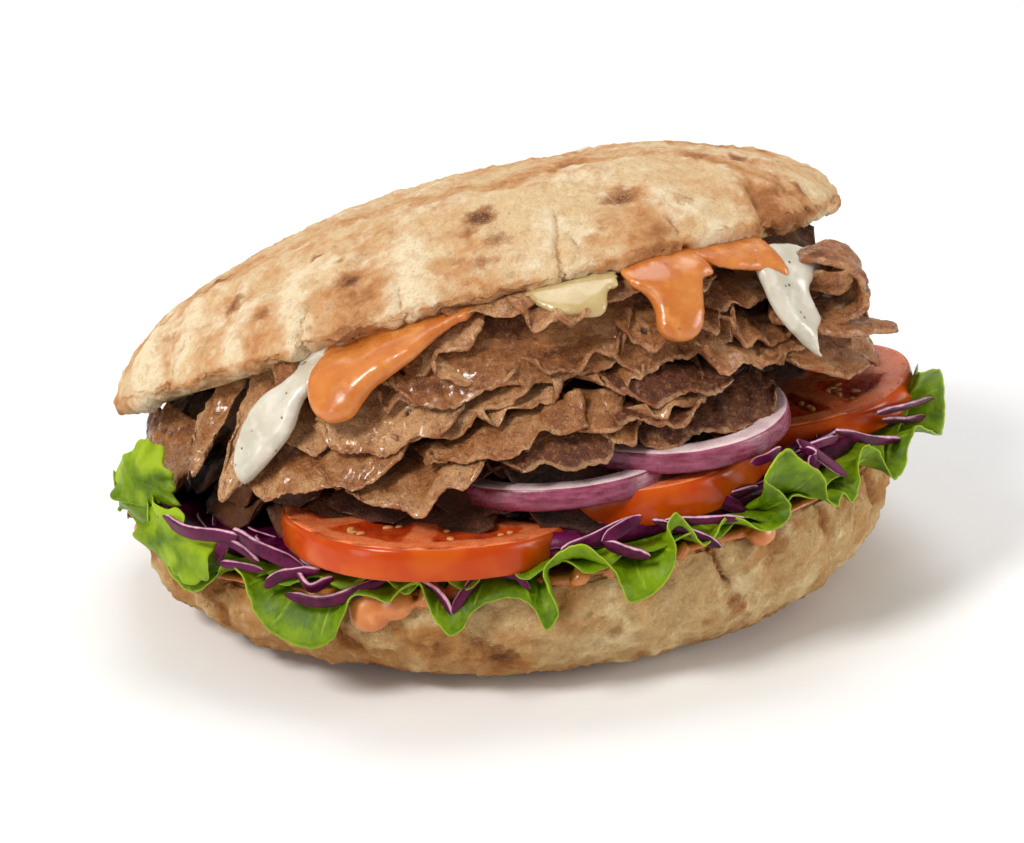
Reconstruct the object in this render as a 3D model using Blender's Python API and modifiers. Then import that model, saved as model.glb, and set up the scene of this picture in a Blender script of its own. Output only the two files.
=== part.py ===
"""Doner kebab sandwich: a split round flatbread with lettuce, red cabbage,
tomato, onion, shaved meat and three sauces.

World frame: X to the right, Y away from the open mouth, Z up.  The origin is
on the ground under the middle of the lower bread half, which rests on a flat
base at z = 0.  Sizes below are in millimetres and turn into metres when a mesh
is written.
"""
import math
import random

import bmesh
import bpy
from mathutils import Matrix, Vector

for old in list(bpy.data.objects):
    bpy.data.objects.remove(old, do_unlink=True)

MM = 0.001

# ---------------------------------------------------------------- bread
LOAF_A = 91.0            # half length of the round loaf, along X
LOAF_B = 83.0            # half width, along Y
RIM_Z = 29.0             # height of the cut rim in the middle
RIM_SLOPE = 0.09         # the cut was made slightly aslant: higher on the right
DISH = 6.0               # the crumb is pressed in by the filling
BASE_FRACTION = 0.68     # flat resting spot, as a fraction of the outline
WIDEST = 0.80            # height fraction at which the lower half is widest
DOME = 33.3              # height of the upper half above its own cut
LIP = 2.8                # the crust rolls under by this much at the cut
TOP_POS = (-5.7, 18.0, 59.6)          # middle of the upper half's cut
TOP_FRONT_UP = 14.9                   # degrees
TOP_RIGHT_UP = 12.3
TOP_YAW = -5.0

# ---------------------------------------------------------------- layers
GAP = 0.35               # clearance between touching pieces
SPREAD_T = 1.5           # sauce on the lower cut face
LETTUCE_T = 2.3
TOMATO_R = 31.0
TOMATO_T = 7.0
SLICE_T = 2.8            # thickness of a shaved slice of meat
RING_SEG = 36            # facets round the loaf
RHO = (0.50, 0.88)       # shared rings of the layers, so their facets match

rng = random.Random(41)


# ---------------------------------------------------------------- scene set-up
def collection(name):
    col = bpy.data.collections.new(name)
    bpy.context.scene.collection.children.link(col)
    return col


PARTS = collection("doner_kebab_sandwich")
CUTTERS = collection("cutters")


def material(name, colour, roughness, metallic=0.0):
    mat = bpy.data.materials.new(name)
    mat.use_nodes = True
    bsdf = mat.node_tree.nodes["Principled BSDF"]
    bsdf.inputs["Base Color"].default_value = (*colour, 1.0)
    bsdf.inputs["Roughness"].default_value = roughness
    bsdf.inputs["Metallic"].default_value = metallic
    mat.diffuse_color = (*colour, 1.0)
    return mat


CRUST = material("flatbread_crust", (0.76, 0.58, 0.35), 0.85)
CRUMB = material("flatbread_lower", (0.62, 0.47, 0.28), 0.85)
LEAF = material("lettuce_leaf", (0.22, 0.36, 0.03), 0.45)
CABBAGE = material("red_cabbage_shred", (0.12, 0.015, 0.08), 0.40)
TOMATO = material("tomato_flesh", (0.68, 0.11, 0.04), 0.25)
ONION = material("red_onion", (0.55, 0.30, 0.50), 0.35)
MEAT = material("doner_meat", (0.24, 0.11, 0.05), 0.50)
MEAT_CORE = material("doner_meat_heap", (0.17, 0.08, 0.04), 0.60)
SAUCE_ORANGE = material("cocktail_sauce", (0.78, 0.27, 0.06), 0.18)
SAUCE_WHITE = material("yoghurt_sauce", (0.78, 0.78, 0.64), 0.20)
SAUCE_CREAM = material("garlic_cream", (0.85, 0.78, 0.50), 0.22)


# ---------------------------------------------------------------- helpers
def rad(deg):
    return deg * math.pi / 180.0


def smooth(a, b, x):
    t = max(0.0, min(1.0, (x - a) / (b - a)))
    return t * t * (3.0 - 2.0 * t)


def bump(deg, centre, half_width):
    """1 at an azimuth, falling smoothly to 0 half_width degrees away."""
    d = abs((deg - centre + 180.0) % 360.0 - 180.0)
    return 1.0 - smooth(0.0, half_width, d)


def outline(theta, rho=1.0):
    return rho * LOAF_A * math.cos(theta), rho * LOAF_B * math.sin(theta)


def rho_of(x, y):
    return math.hypot(x / LOAF_A, y / LOAF_B)


def rim_z(x):
    return RIM_Z + RIM_SLOPE * x


def cut_z(x, y):
    """Height of the lower half's cut face."""
    return rim_z(x) - DISH * (1.0 - min(1.0, rho_of(x, y)) ** 2)


TOP_TURN = (Matrix.Rotation(rad(-TOP_RIGHT_UP), 3, "Y")
            @ Matrix.Rotation(rad(-TOP_FRONT_UP), 3, "X")
            @ Matrix.Rotation(rad(TOP_YAW), 3, "Z"))
TOP_NORMAL = TOP_TURN @ Vector((0.0, 0.0, 1.0))


def top_z(x, y):
    """Height of the upper half's cut plane."""
    n = TOP_NORMAL
    return TOP_POS[2] - (n.x * (x - TOP_POS[0]) + n.y * (y - TOP_POS[1])) / n.z


def top_point(theta, rho, z):
    p = TOP_TURN @ Vector((*outline(theta, rho), z))
    return p + Vector(TOP_POS)


def top_rim_at(theta, rho, z=0.0):
    """Point of the upper half's ring that lies at a world azimuth."""
    phi = theta
    for _ in range(6):
        p = top_point(phi, rho, z)
        seen = math.atan2(p.y / LOAF_B, p.x / LOAF_A)
        phi += (theta - seen + math.pi) % (2.0 * math.pi) - math.pi
    return top_point(phi, rho, z)


def link(mesh, name, mat, col=PARTS):
    obj = bpy.data.objects.new(name, mesh)
    col.objects.link(obj)
    if mat is not None:
        mesh.materials.clear()
        mesh.materials.append(mat)
    return obj


def face_outwards(bm):
    bmesh.ops.recalc_face_normals(bm, faces=bm.faces)
    if bm.calc_volume(signed=True) < 0.0:
        bmesh.ops.reverse_faces(bm, faces=bm.faces)


def barrel(name, mat, segments, rings, place):
    """A closed body mapped from a UV sphere: place(ring, theta) gives each
    point in mm; ring 0 is the upper pole and ring `rings` + 1 the lower."""
    bm = bmesh.new()
    bmesh.ops.create_uvsphere(bm, u_segments=segments, v_segments=rings + 1,
                              radius=1.0)
    for v in bm.verts:
        polar = math.acos(max(-1.0, min(1.0, v.co.z)))
        ring = int(round(polar / math.pi * (rings + 1)))
        theta = math.atan2(v.co.y, v.co.x) if 0 < ring < rings + 1 else 0.0
        v.co = Vector(place(ring, theta)) * MM
    face_outwards(bm)
    mesh = bpy.data.meshes.new(name)
    bm.to_mesh(mesh)
    bm.free()
    return link(mesh, name, mat)


def tidy(obj):
    """Keep the one largest body, as clean triangles; faces that lie nearly in
    one plane are merged first, the more so on a small piece."""
    low, high = spans(obj)
    flat = 0.5 if max(high[i] - low[i] for i in range(3)) > 0.1 else 2.5
    bm = bmesh.new()
    bm.from_mesh(obj.data)
    bmesh.ops.remove_doubles(bm, verts=bm.verts, dist=1.0e-6)
    bmesh.ops.dissolve_degenerate(bm, edges=bm.edges, dist=2.0e-6)
    left = set(bm.verts)
    groups = []
    while left:
        stack = [left.pop()]
        group = [stack[0]]
        while stack:
            for e in stack.pop().link_edges:
                for v in e.verts:
                    if v in left:
                        left.discard(v)
                        stack.append(v)
                        group.append(v)
        groups.append(group)
    if len(groups) > 1:
        def extent(g):
            span = [max(v.co[i] for v in g) - min(v.co[i] for v in g) for i in range(3)]
            return span[0] * span[1] + span[1] * span[2] + span[0] * span[2]
        groups.sort(key=extent)
        spare = [v for g in groups[:-1] for v in g]
        bmesh.ops.delete(bm, geom=spare, context="VERTS")
    plain = bm.copy()
    bmesh.ops.dissolve_limit(bm, angle_limit=rad(flat), verts=bm.verts,
                             edges=bm.edges, use_dissolve_boundaries=False)
    bmesh.ops.triangulate(bm, faces=bm.faces)
    bmesh.ops.dissolve_degenerate(bm, edges=bm.edges, dist=2.0e-6)
    bmesh.ops.triangulate(bm, faces=bm.faces)
    if any(len(e.link_faces) != 2 for e in bm.edges):
        bm.free()
        bm = plain.copy()
        bmesh.ops.triangulate(bm, faces=bm.faces)
    plain.free()
    face_outwards(bm)
    bm.to_mesh(obj.data)
    bm.free()


def bake(obj):
    """Turn the modifiers of an object into its mesh."""
    deps = bpy.context.evaluated_depsgraph_get()
    fresh = bpy.data.meshes.new_from_object(obj.evaluated_get(deps))
    obj.modifiers.clear()
    obj.data = fresh


def spans(obj):
    pts = [obj.matrix_world @ v.co for v in obj.data.vertices]
    return ([min(p[i] for p in pts) for i in range(3)],
            [max(p[i] for p in pts) for i in range(3)])


def near(a, b):
    (a0, a1), (b0, b1) = spans(a), spans(b)
    return all(a0[i] <= b1[i] and b0[i] <= a1[i] for i in range(3))


def closed(mesh):
    bm = bmesh.new()
    bm.from_mesh(mesh)
    good = len(bm.verts) > 3 and all(len(e.link_faces) == 2 for e in bm.edges)
    bm.free()
    return good


def combine(obj, other, operation="DIFFERENCE"):
    if operation == "DIFFERENCE" and not near(obj, other):
        return
    before = obj.data.copy()
    home = other.location.copy()
    for nudge in (0.0, 0.00006, -0.00009, 0.00013):
        other.location = home + Vector((0.5 * nudge, -nudge, nudge))
        bpy.context.view_layer.update()
        for careful in (False, True):       # the second is for a folded cutter
            mod = obj.modifiers.new("combine", "BOOLEAN")
            mod.operation = operation
            mod.solver = "EXACT"
            mod.use_self = careful
            mod.object = other
            bake(obj)
            if len(obj.data.vertices) > 3:
                tidy(obj)
                if closed(obj.data):
                    other.location = home
                    return
            obj.data = before.copy()
    other.location = home


def drop(obj):
    mesh = obj.data
    bpy.data.objects.remove(obj, do_unlink=True)
    if mesh.users == 0:
        bpy.data.meshes.remove(mesh)


def cutter(obj):
    """Move an oversize twin out of the way of the parts."""
    obj.name = "cut_" + obj.name
    PARTS.objects.unlink(obj)
    CUTTERS.objects.link(obj)
    obj.hide_render = True
    obj.display_type = "WIRE"
    obj.data.materials.clear()
    return obj


# ---------------------------------------------------------------- bread halves
def lower_bread(name, mat, grow=0.0):
    sides = (0.90, 0.74, 0.52, 0.30, 0.10)

    def side_rho(t):
        if t > WIDEST:
            return 1.0 - 0.012 * ((t - WIDEST) / (1.0 - WIDEST)) ** 2
        k = 1.0 - t / WIDEST
        return BASE_FRACTION + (1.0 - BASE_FRACTION) * math.sqrt(max(0.0, 1.0 - k * k))

    def place(ring, theta):
        if ring == 0:
            return 0.0, 0.0, cut_z(0.0, 0.0) + grow
        if ring <= 3:                                   # cut face and its rim
            rho = (*RHO, 0.985)[ring - 1]
            x, y = outline(theta, rho)
            return x, y, (cut_z(x, y) if ring < 3 else rim_z(x)) + grow
        if ring <= 8:                                   # rounded side
            t = sides[ring - 4]
            wob = 1.0 + 0.006 * math.sin(3.0 * theta + 0.7) + 0.004 * math.sin(7.0 * theta)
            x, y = outline(theta, side_rho(t) * wob)
            k = 1.0 + grow / math.hypot(x, y)
            return x * k, y * k, t * rim_z(x)
        if ring == 9:                                   # flat base
            x, y = outline(theta, BASE_FRACTION)
            return x, y, -grow
        return 0.0, 0.0, -grow

    return barrel(name, mat, RING_SEG, 9, place)


def upper_bread(name, mat, grow=0.0):
    """Domed half with a raised border roll and the dimples pressed round it."""
    dome = (0.30, 0.55, 0.74, 0.84, 0.91, 0.96, 0.988, 1.0)

    def place(ring, theta):
        if ring == 0:
            return 0.0, 0.0, DOME + grow
        if ring <= 8:
            rho = dome[ring - 1]
            z = DOME * math.sqrt(max(0.0, 1.0 - rho ** 2.03))
            crease = math.exp(-((rho - 0.84) / 0.05) ** 2)
            roll = math.exp(-((rho - 0.93) / 0.05) ** 2)
            press = max(0.0, math.cos(13.0 * theta)) ** 3
            lift = -0.9 * crease + 0.5 * roll - 0.9 * roll * press
            x, y = outline(theta, rho)
            k = 1.0 + (grow + 0.4 * lift) / math.hypot(x, y)
            return x * k, y * k, (z + lift + grow if ring < 8 else LIP)
        if ring == 9:
            x, y = outline(theta, 0.986)
            k = 1.0 + grow / math.hypot(x, y)
            return x * k, y * k, 0.25 * LIP - grow
        if ring <= 11:
            x, y = outline(theta, (0.93, 0.45)[ring - 10])
            return x, y, -grow
        return 0.0, 0.0, -grow

    obj = barrel(name, mat, RING_SEG, 11, place)
    obj.rotation_mode = "ZXY"
    obj.rotation_euler = (rad(-TOP_FRONT_UP), rad(-TOP_RIGHT_UP), rad(TOP_YAW))
    obj.location = Vector(TOP_POS) * MM
    return obj


# ---------------------------------------------------------------- layers
def cabbage_t(x, y):
    """The shreds are squeezed thin where the halves come close together."""
    return max(1.4, min(4.3, 0.24 * (top_z(x, y) - cut_z(x, y) - 10.0)))


def lettuce_low(x, y):
    return cut_z(x, y) + SPREAD_T + 2.0 * GAP


def cabbage_low(x, y):
    return lettuce_low(x, y) + LETTUCE_T + GAP


def cabbage_high(x, y):
    return cabbage_low(x, y) + cabbage_t(x, y)


def layer(name, mat, segments, low, high, rim, edge):
    """A thin layer over the cut face; `rim` gives its outline fraction and
    `edge` moves the outermost ring."""
    def place(ring, theta):
        rings = (0.0, *RHO)
        if ring <= 2:
            x, y = outline(theta, rings[ring])
            return x, y, high(x, y)
        if ring == 3:
            x, y = outline(theta, rim(theta))
            z = 0.5 * (low(x, y) + high(x, y))
            return edge(x, y, z)
        x, y = outline(theta, rings[6 - ring])
        return x, y, low(x, y)

    return barrel(name, mat, segments, 5, place)


def spread_rim(theta):
    d = math.degrees(theta)
    reach = 0.945 + 0.012 * math.sin(5.0 * theta) + 0.010 * math.sin(11.0 * theta + 1.0)
    for az in DRIPS:
        reach = max(reach, 0.945 + 0.030 * bump(d, az[0], 11.0))
    return min(reach, 0.975)


# azimuth, width, length, thickness of the runs of sauce over the lower rim
DRIPS = ((-118.0, 17.0, 14.0, 3.4), (-88.0, 8.0, 6.0, 2.4),
         (-72.0, 7.0, 6.0, 2.4), (-61.0, 9.0, 8.5, 2.8))


def drip(name, mat, azimuth, width, length, thick):
    """One run of sauce: a flattened drop hanging over the rim, whose upper end
    sits inside the spread."""
    theta0 = rad(azimuth)
    path = ((0.930, 1.05), (1.000, 0.95), (1.020, 0.1), (1.024, -0.34), (1.022, -0.75), (1.016, -1.0))
    size = (0.50, 0.80, 1.0, 1.0, 0.85, 0.45)

    def place(ring, theta):
        k = min(max(ring - 1, 0), 5)
        rho, fall = path[k]
        s = 0.0 if ring in (0, 7) else size[k]
        side = 0.5 * width * s * math.cos(theta)
        out = (0.65 if k == 0 else 0.8 if k == 1 else 0.5 * thick * s) * math.sin(theta)
        out *= 0.0 if ring in (0, 7) else 1.0
        x0, y0 = outline(theta0, rho)
        z0 = rim_z(x0) + (fall if fall > 0.0 else fall * length)
        if ring == 7:
            z0 -= 0.8
        t = Vector((-math.sin(theta0), math.cos(theta0), 0.0))
        n = Vector((math.cos(theta0), math.sin(theta0), 0.0))
        # the first stretch lies flat, the rest hangs down the side
        w = Vector((0.0, 0.0, 1.0)) if k == 0 else (n * 0.7 + Vector((0.0, 0.0, 0.7)) if k == 1 else n)
        base = Vector((x0, y0, z0)) + n * (0.5 * thick * 0.7 if k >= 2 else 0.0)
        return base + t * side + w * out

    return barrel(name, mat, 10, 6, place)


# where the leaf edge stands: azimuth, reach beyond the rim, rise above it
LEAF_EDGE = ((180.0, 6.0, 8.0), (200.0, 6.5, 13.0), (214.0, 7.0, 7.0),
             (228.0, 8.0, -5.0), (243.0, 8.0, -9.0), (262.0, 6.0, -5.0),
             (280.0, 6.0, -4.0), (297.0, 5.0, 0.0), (315.0, 6.0, 3.0),
             (335.0, 7.0, 5.0), (350.0, 9.0, 6.0), (370.0, 8.0, 5.0),
             (400.0, 6.0, 4.0), (430.0, 6.0, 2.0), (460.0, 5.0, -3.0),
             (500.0, 5.0, -6.0), (520.0, 6.0, 0.0), (540.0, 6.0, 8.0))


def leaf_edge(theta):
    d = math.degrees(theta) % 360.0
    if d < 180.0:
        d += 360.0
    for (d0, r0, z0), (d1, r1, z1) in zip(LEAF_EDGE, LEAF_EDGE[1:]):
        if d <= d1:
            k = smooth(d0, d1, d)
            return r0 + (r1 - r0) * k, z0 + (z1 - z0) * k
    return LEAF_EDGE[-1][1:]


def lettuce(name, mat):
    """Leaves under the filling whose ruffled edges stand out all round."""
    def ruffle(theta):
        return (0.75 * math.sin(13.0 * theta + 0.4) + 0.35 * math.sin(8.0 * theta + 2.0)
                + 0.25 * math.sin(5.0 * theta))

    def place(ring, theta):
        reach, rise = leaf_edge(theta)
        wave = ruffle(theta)
        inner = (0.0, *RHO)
        up = ring <= 5
        k = ring if up else 10 - ring
        if k <= 2:
            x, y = outline(theta, inner[k])
            return x, y, lettuce_low(x, y) + (LETTUCE_T if up else 0.0)
        # three rings beyond the bread: over the rim, half way, and the edge
        part = (0.0, 0.55, 1.0)[k - 3]
        x0, y0 = outline(theta, 1.0)
        n = Vector((x0, y0)).normalized()
        r = (1.2, 2.0 + 0.62 * reach, 2.0 + reach)[k - 3] + 1.4 * part * math.cos(13.0 * theta + 1.0)
        x, y = x0 + n.x * r, y0 + n.y * r
        z = rim_z(x0) + 4.2 + part * (rise - 2.0) + 4.4 * part * wave
        lid = top_z(x, y) - 3.5
        z = min(z, lid) if rho_of(x, y) < 1.4 else z
        thick = (2.6, 2.2, 0.0)[k - 3]
        return x, y, z + (0.5 * thick if up else -0.5 * thick)

    return barrel(name, mat, 56, 9, place)


def red_cabbage(name, mat):
    """Heap of shreds on the leaves, with an uneven edge."""
    def rim(theta):
        return 0.965 + 0.020 * math.sin(9.0 * theta + 0.5) + 0.018 * math.sin(23.0 * theta)

    def edge(x, y, z):
        theta = math.atan2(y / LOAF_B, x / LOAF_A)
        return x, y, z + 0.7 + 0.5 * math.sin(19.0 * theta)

    def high(x, y):
        theta = math.atan2(y, x)
        return cabbage_high(x, y) + 0.4 * math.sin(11.0 * theta) * rho_of(x, y)

    return layer(name, mat, RING_SEG, cabbage_low, high, rim, edge)


# ---------------------------------------------------------------- tomato, onion
# middle of the slice, front-up and right-up tilt in degrees, radius, thickness
TOMATOES = ((-27.0, -57.5, 34.2, 5.5, -3.0, TOMATO_R, TOMATO_T),
            (21.0, -46.0, 36.6, 4.0, 5.0, 30.5, 6.6),
            (63.0, -15.0, 42.6, 1.0, 8.0, 30.5, 6.6),
            (30.0, 47.0, 38.6, 1.0, 5.5, 31.0, 6.0),
            (-46.0, 24.0, 30.6, 0.5, 4.5, 29.0, 5.0))


def tomato(name, mat, spec, grow=0.0):
    x0, y0, z0, front, right, radius, thick = spec
    h = 0.5 * thick + grow
    rings = ((radius - 1.6, h), (radius, 0.42 * h), (radius, -0.42 * h), (radius - 1.6, -h))

    def place(ring, theta):
        if ring in (0, 5):
            return 0.0, 0.0, h if ring == 0 else -h
        r, z = rings[ring - 1]
        r = (r + grow) * (1.0 + 0.012 * math.sin(5.0 * theta + x0) + 0.010 * math.sin(3.0 * theta))
        return r * math.cos(theta), r * math.sin(theta), z

    obj = barrel(name, mat, 24, 4, place)
    obj.rotation_mode = "ZXY"
    obj.rotation_euler = (rad(-front), rad(-right), 0.0)
    obj.location = Vector((x0, y0, z0)) * MM
    return obj


# middle of the ring, radius, azimuth of the arc's middle, sweep,
# front-up and right-up tilt
ONIONS = ((31.5, -48.0, 49.2, 24.5, -92.0, 205.0, -4.0, 7.0),
          (1.0, -50.0, 43.8, 25.5, -92.0, 190.0, 3.0, 3.0),
          (58.0, 22.0, 48.5, 22.0, 20.0, 170.0, -4.0, 9.0),
          (14.0, 58.0, 42.6, 24.0, 84.0, 150.0, -7.0, 8.0))
ONION_W = 5.6            # radial width of a ring
ONION_H = 5.2            # its height


def onion(name, mat, spec, grow=0.0):
    x0, y0, z0, radius, middle, sweep, front, right = spec
    steps = 11

    def place(ring, theta):
        k = min(max(ring - 1, 0), steps - 1)
        t = k / (steps - 1.0)
        a = rad(middle + sweep * (t - 0.5))
        s = 0.0 if ring in (0, steps + 1) else 1.0
        corner = 1.0 / max(abs(math.cos(theta)), abs(math.sin(theta)))
        across = (0.5 * ONION_W + grow) * math.cos(theta) * min(corner, 1.22) * s
        up = (0.5 * ONION_H + grow) * math.sin(theta) * min(corner, 1.22) * s
        r = radius * (1.0 + 0.03 * math.sin(2.0 * a + x0)) + across
        a += (-1.0 if ring == 0 else 1.0 if ring == steps + 1 else 0.0) * grow / radius
        return r * math.cos(a), r * math.sin(a), up

    obj = barrel(name, mat, 6, steps, place)
    obj.rotation_mode = "ZXY"
    obj.rotation_euler = (rad(-front), rad(-right), 0.0)
    obj.location = Vector((x0, y0, z0)) * MM
    return obj


# ---------------------------------------------------------------- meat
HEAP_LOW_RHO = 0.915     # outline of the meat at its foot
HEAP_HIGH_RHO = 0.925    # and under the upper half's rim


def heap_point(theta, z):
    """A point of the heap's outer face at an azimuth and a height."""
    x0, y0 = outline(theta, HEAP_LOW_RHO)
    z0 = cabbage_high(x0, y0)
    p1 = top_rim_at(theta, HEAP_HIGH_RHO)
    p0 = Vector((x0, y0, z0))
    k = (z - z0) / max(9.0, p1.z - z0)
    return Vector((*(p0 + (p1 - p0) * max(-0.1, min(1.1, k))).xy, z))


def heap_axes(theta, z):
    """Tangent along the rim, outward normal and the way up the face."""
    a = heap_point(theta - 0.03, z)
    b = heap_point(theta + 0.03, z)
    along = (b - a).normalized()
    up = (heap_point(theta, z + 2.0) - heap_point(theta, z - 2.0)).normalized()
    out = along.cross(up).normalized()
    return along, out, up


def meat_heap(name, mat):
    """What the slices lie against: the stack between the halves."""
    def place(ring, theta):
        lump = 0.8 * math.sin(6.0 * theta) + 0.6 * math.sin(13.0 * theta + 2.0)
        if ring == 0:
            return top_point(0.0, 0.0, -GAP)
        if ring <= 3:
            return top_rim_at(theta, (0.35, 0.62, 0.87)[ring - 1],
                              -GAP if ring < 3 else -GAP - 0.6)
        if ring <= 6:
            k = (0.82, 0.5, 0.18)[ring - 4]
            x0, y0 = outline(theta, 0.86)
            z0 = cabbage_high(x0, y0) + GAP
            p1 = top_rim_at(theta, 0.87, -GAP - 0.6)
            p0 = Vector((x0, y0, z0))
            p = p0 + (p1 - p0) * k
            n = Vector((p.x, p.y, 0.0)).normalized()
            room = min(1.0, max(0.0, (p1.z - z0 - 4.0) / 20.0))
            return p + n * room * (2.2 + lump)
        x, y = outline(theta, (0.85, 0.50, 0.0)[ring - 7])
        return x, y, cabbage_high(x, y) + GAP + 0.45

    return barrel(name, mat, RING_SEG, 8, place)


# name, azimuth and height of the free lower edge's middle, width, height of
# the face, slope along the rim, how far the lower edge stands out, sideways
# taper of the lower edge (0 square, 1 pointed), waviness
SLICES = (
    ("doner_slice_01", 211.5, 40.5, 15.0, 17.0, 4.0, 5.0, 0.25, 1.2),
    ("doner_slice_02", 220.0, 42.0, 16.0, 22.0, 0.0, 6.5, 0.75, 1.0),
    ("doner_slice_04", 235.5, 44.0, 39.0, 12.0, 13.0, 6.0, 0.15, 1.0),
    ("doner_slice_05", 244.0, 53.0, 35.0, 14.0, 7.0, 5.0, 0.20, 1.2),
    ("doner_slice_06", 251.5, 69.5, 25.0, 8.0, 28.0, 4.5, 0.15, 0.8),
    ("doner_slice_07", 266.0, 65.0, 58.0, 15.0, 11.0, 5.5, 0.20, 1.6),
    ("doner_slice_08", 271.0, 79.5, 42.0, 5.5, 1.0, 5.5, 0.10, 1.0),
    ("doner_slice_09", 270.5, 76.0, 24.0, 6.0, -14.0, 9.0, 0.55, 0.8),
    ("doner_slice_11", 294.0, 67.0, 36.0, 15.0, 7.0, 4.5, 0.20, 1.4),
    ("doner_slice_12", 302.5, 62.0, 30.0, 8.0, -20.0, 7.5, 0.45, 0.8),
    ("doner_slice_14", 323.0, 58.0, 28.0, 10.0, 2.0, 6.0, 0.25, 1.0),
    ("doner_slice_15", 331.0, 66.0, 34.0, 6.0, -8.0, 13.0, 0.60, 0.6),
    ("doner_slice_18", 257.5, 57.5, 34.0, 8.0, 24.0, 5.0, 0.20, 0.8),
    ("doner_slice_19", 262.0, 51.5, 33.0, 7.0, 18.0, 6.0, 0.25, 0.8),
    ("doner_slice_20", 250.5, 43.0, 34.0, 8.0, 15.0, 6.5, 0.30, 1.0),
    ("doner_slice_22", 273.5, 49.5, 31.0, 9.0, 14.0, 6.0, 0.35, 1.0),
    ("doner_slice_24", 289.0, 60.0, 31.0, 7.0, -9.0, 6.0, 0.20, 0.8),
)
SIDE_AZIMUTHS = (344.0, 6.0, 29.0, 52.0, 173.0, 194.0)   # right, back, left


def slice_sheet(name, mat, spec, grow=0.0):
    """A shaved slice that lies against the heap like a roof tile."""
    _, az, z0, width, face, slope, lean, taper, wave = spec
    bm = bmesh.new()
    bmesh.ops.create_grid(bm, x_segments=4, y_segments=2, size=1.0)
    theta0 = rad(az)
    ca, sa = math.cos(rad(slope)), math.sin(rad(slope))
    centre = heap_point(theta0, z0)
    radius = math.hypot(centre.x, centre.y)
    for v in bm.verts:
        u, w = v.co.x, 0.5 * (v.co.y + 1.0)        # w: 0 free edge, 1 hidden edge
        narrow = 1.0 - taper * (1.0 - w) ** 1.5 * (0.55 + 0.45 * abs(u))
        ragged = 0.9 * math.sin(5.0 * u + az) + 0.6 * math.sin(9.0 * u + 2.0 * az)
        a = u * (0.5 * width * narrow + grow)
        b = w * face + ragged * (1.0 - w) + taper * 2.5 * u * u * (1.0 - w)
        b += grow * (2.0 * w - 1.0)
        along, up = a * ca - b * sa, a * sa + b * ca
        theta = theta0 + along / radius
        z = z0 + up
        ax, out, rise = heap_axes(theta, z)
        off = 0.6 + (lean - 0.6) * (1.0 - w) ** 0.8
        off += wave * math.sin(2.6 * u + 0.7 * az) * (1.0 - 0.4 * w)
        v.co = (heap_point(theta, z) + out * off) * MM
    bmesh.ops.recalc_face_normals(bm, faces=bm.faces)
    mesh = bpy.data.meshes.new(name)
    bm.to_mesh(mesh)
    bm.free()
    obj = link(mesh, name, mat)
    mod = obj.modifiers.new("thickness", "SOLIDIFY")
    mod.thickness = (SLICE_T + 2.0 * grow) * MM
    mod.offset = 0.0
    mod.use_even_offset = True
    bake(obj)
    tidy(obj)
    return obj


# azimuth, height of the middle, how far out, radius, length along its own
# axis, start and end of the wrap, lean of the axis
CURLS = (("doner_slice_16", 326.0, 78.5, 13.0, 7.4, 22.0, 15.0, 275.0, 4.0),
         ("doner_slice_21", 273.5, 60.0, 3.5, 4.6, 15.0, -160.0, 95.0, 78.0))


def curl_sheet(name, mat, spec, grow=0.0):
    """A slice rolled up on itself; the axis lies in the heap's face."""
    _, az, z0, off, radius, length, start, stop, lean = spec
    theta0 = rad(az)
    ax, out, up = heap_axes(theta0, z0)
    centre = heap_point(theta0, z0) + out * off
    axis = ax * math.cos(rad(lean)) + up * math.sin(rad(lean))
    side = out.cross(axis).normalized()
    bm = bmesh.new()
    bmesh.ops.create_grid(bm, x_segments=12, y_segments=2, size=1.0)
    pad = grow / radius
    for v in bm.verts:
        u = 0.5 * (v.co.x + 1.0)
        ang = rad(start) - pad + (rad(stop - start) + 2.0 * pad) * u
        r = radius * (1.0 + 0.18 * (u - 0.5))
        p = centre + axis * (0.5 * length + grow) * v.co.y
        p += (out * math.cos(ang) + side * math.sin(ang)) * r
        v.co = p * MM
    bmesh.ops.recalc_face_normals(bm, faces=bm.faces)
    mesh = bpy.data.meshes.new(name)
    bm.to_mesh(mesh)
    bm.free()
    obj = link(mesh, name, mat)
    mod = obj.modifiers.new("thickness", "SOLIDIFY")
    mod.thickness = (2.4 + 2.0 * grow) * MM
    mod.offset = 0.0
    mod.use_even_offset = True
    bake(obj)
    tidy(obj)
    return obj


def side_slices():
    """Slices for the right side, the back and the left, in the same manner."""
    specs = []
    for i, az in enumerate(SIDE_AZIMUTHS):
        theta = rad(az)
        foot = cabbage_high(*outline(theta, HEAP_LOW_RHO))
        room = top_rim_at(theta, HEAP_HIGH_RHO).z - foot
        face = max(5.0, min(15.0, 0.55 * room))
        z0 = foot + 0.22 * (room - face) + 1.6
        specs.append(("doner_slice_%02d" % (26 + i), az, z0, 26.0 + 6.0 * rng.random(),
                      face, rng.uniform(-5.0, 5.0), rng.uniform(3.0, 4.5), 0.25, 0.7))
    return specs


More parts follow.
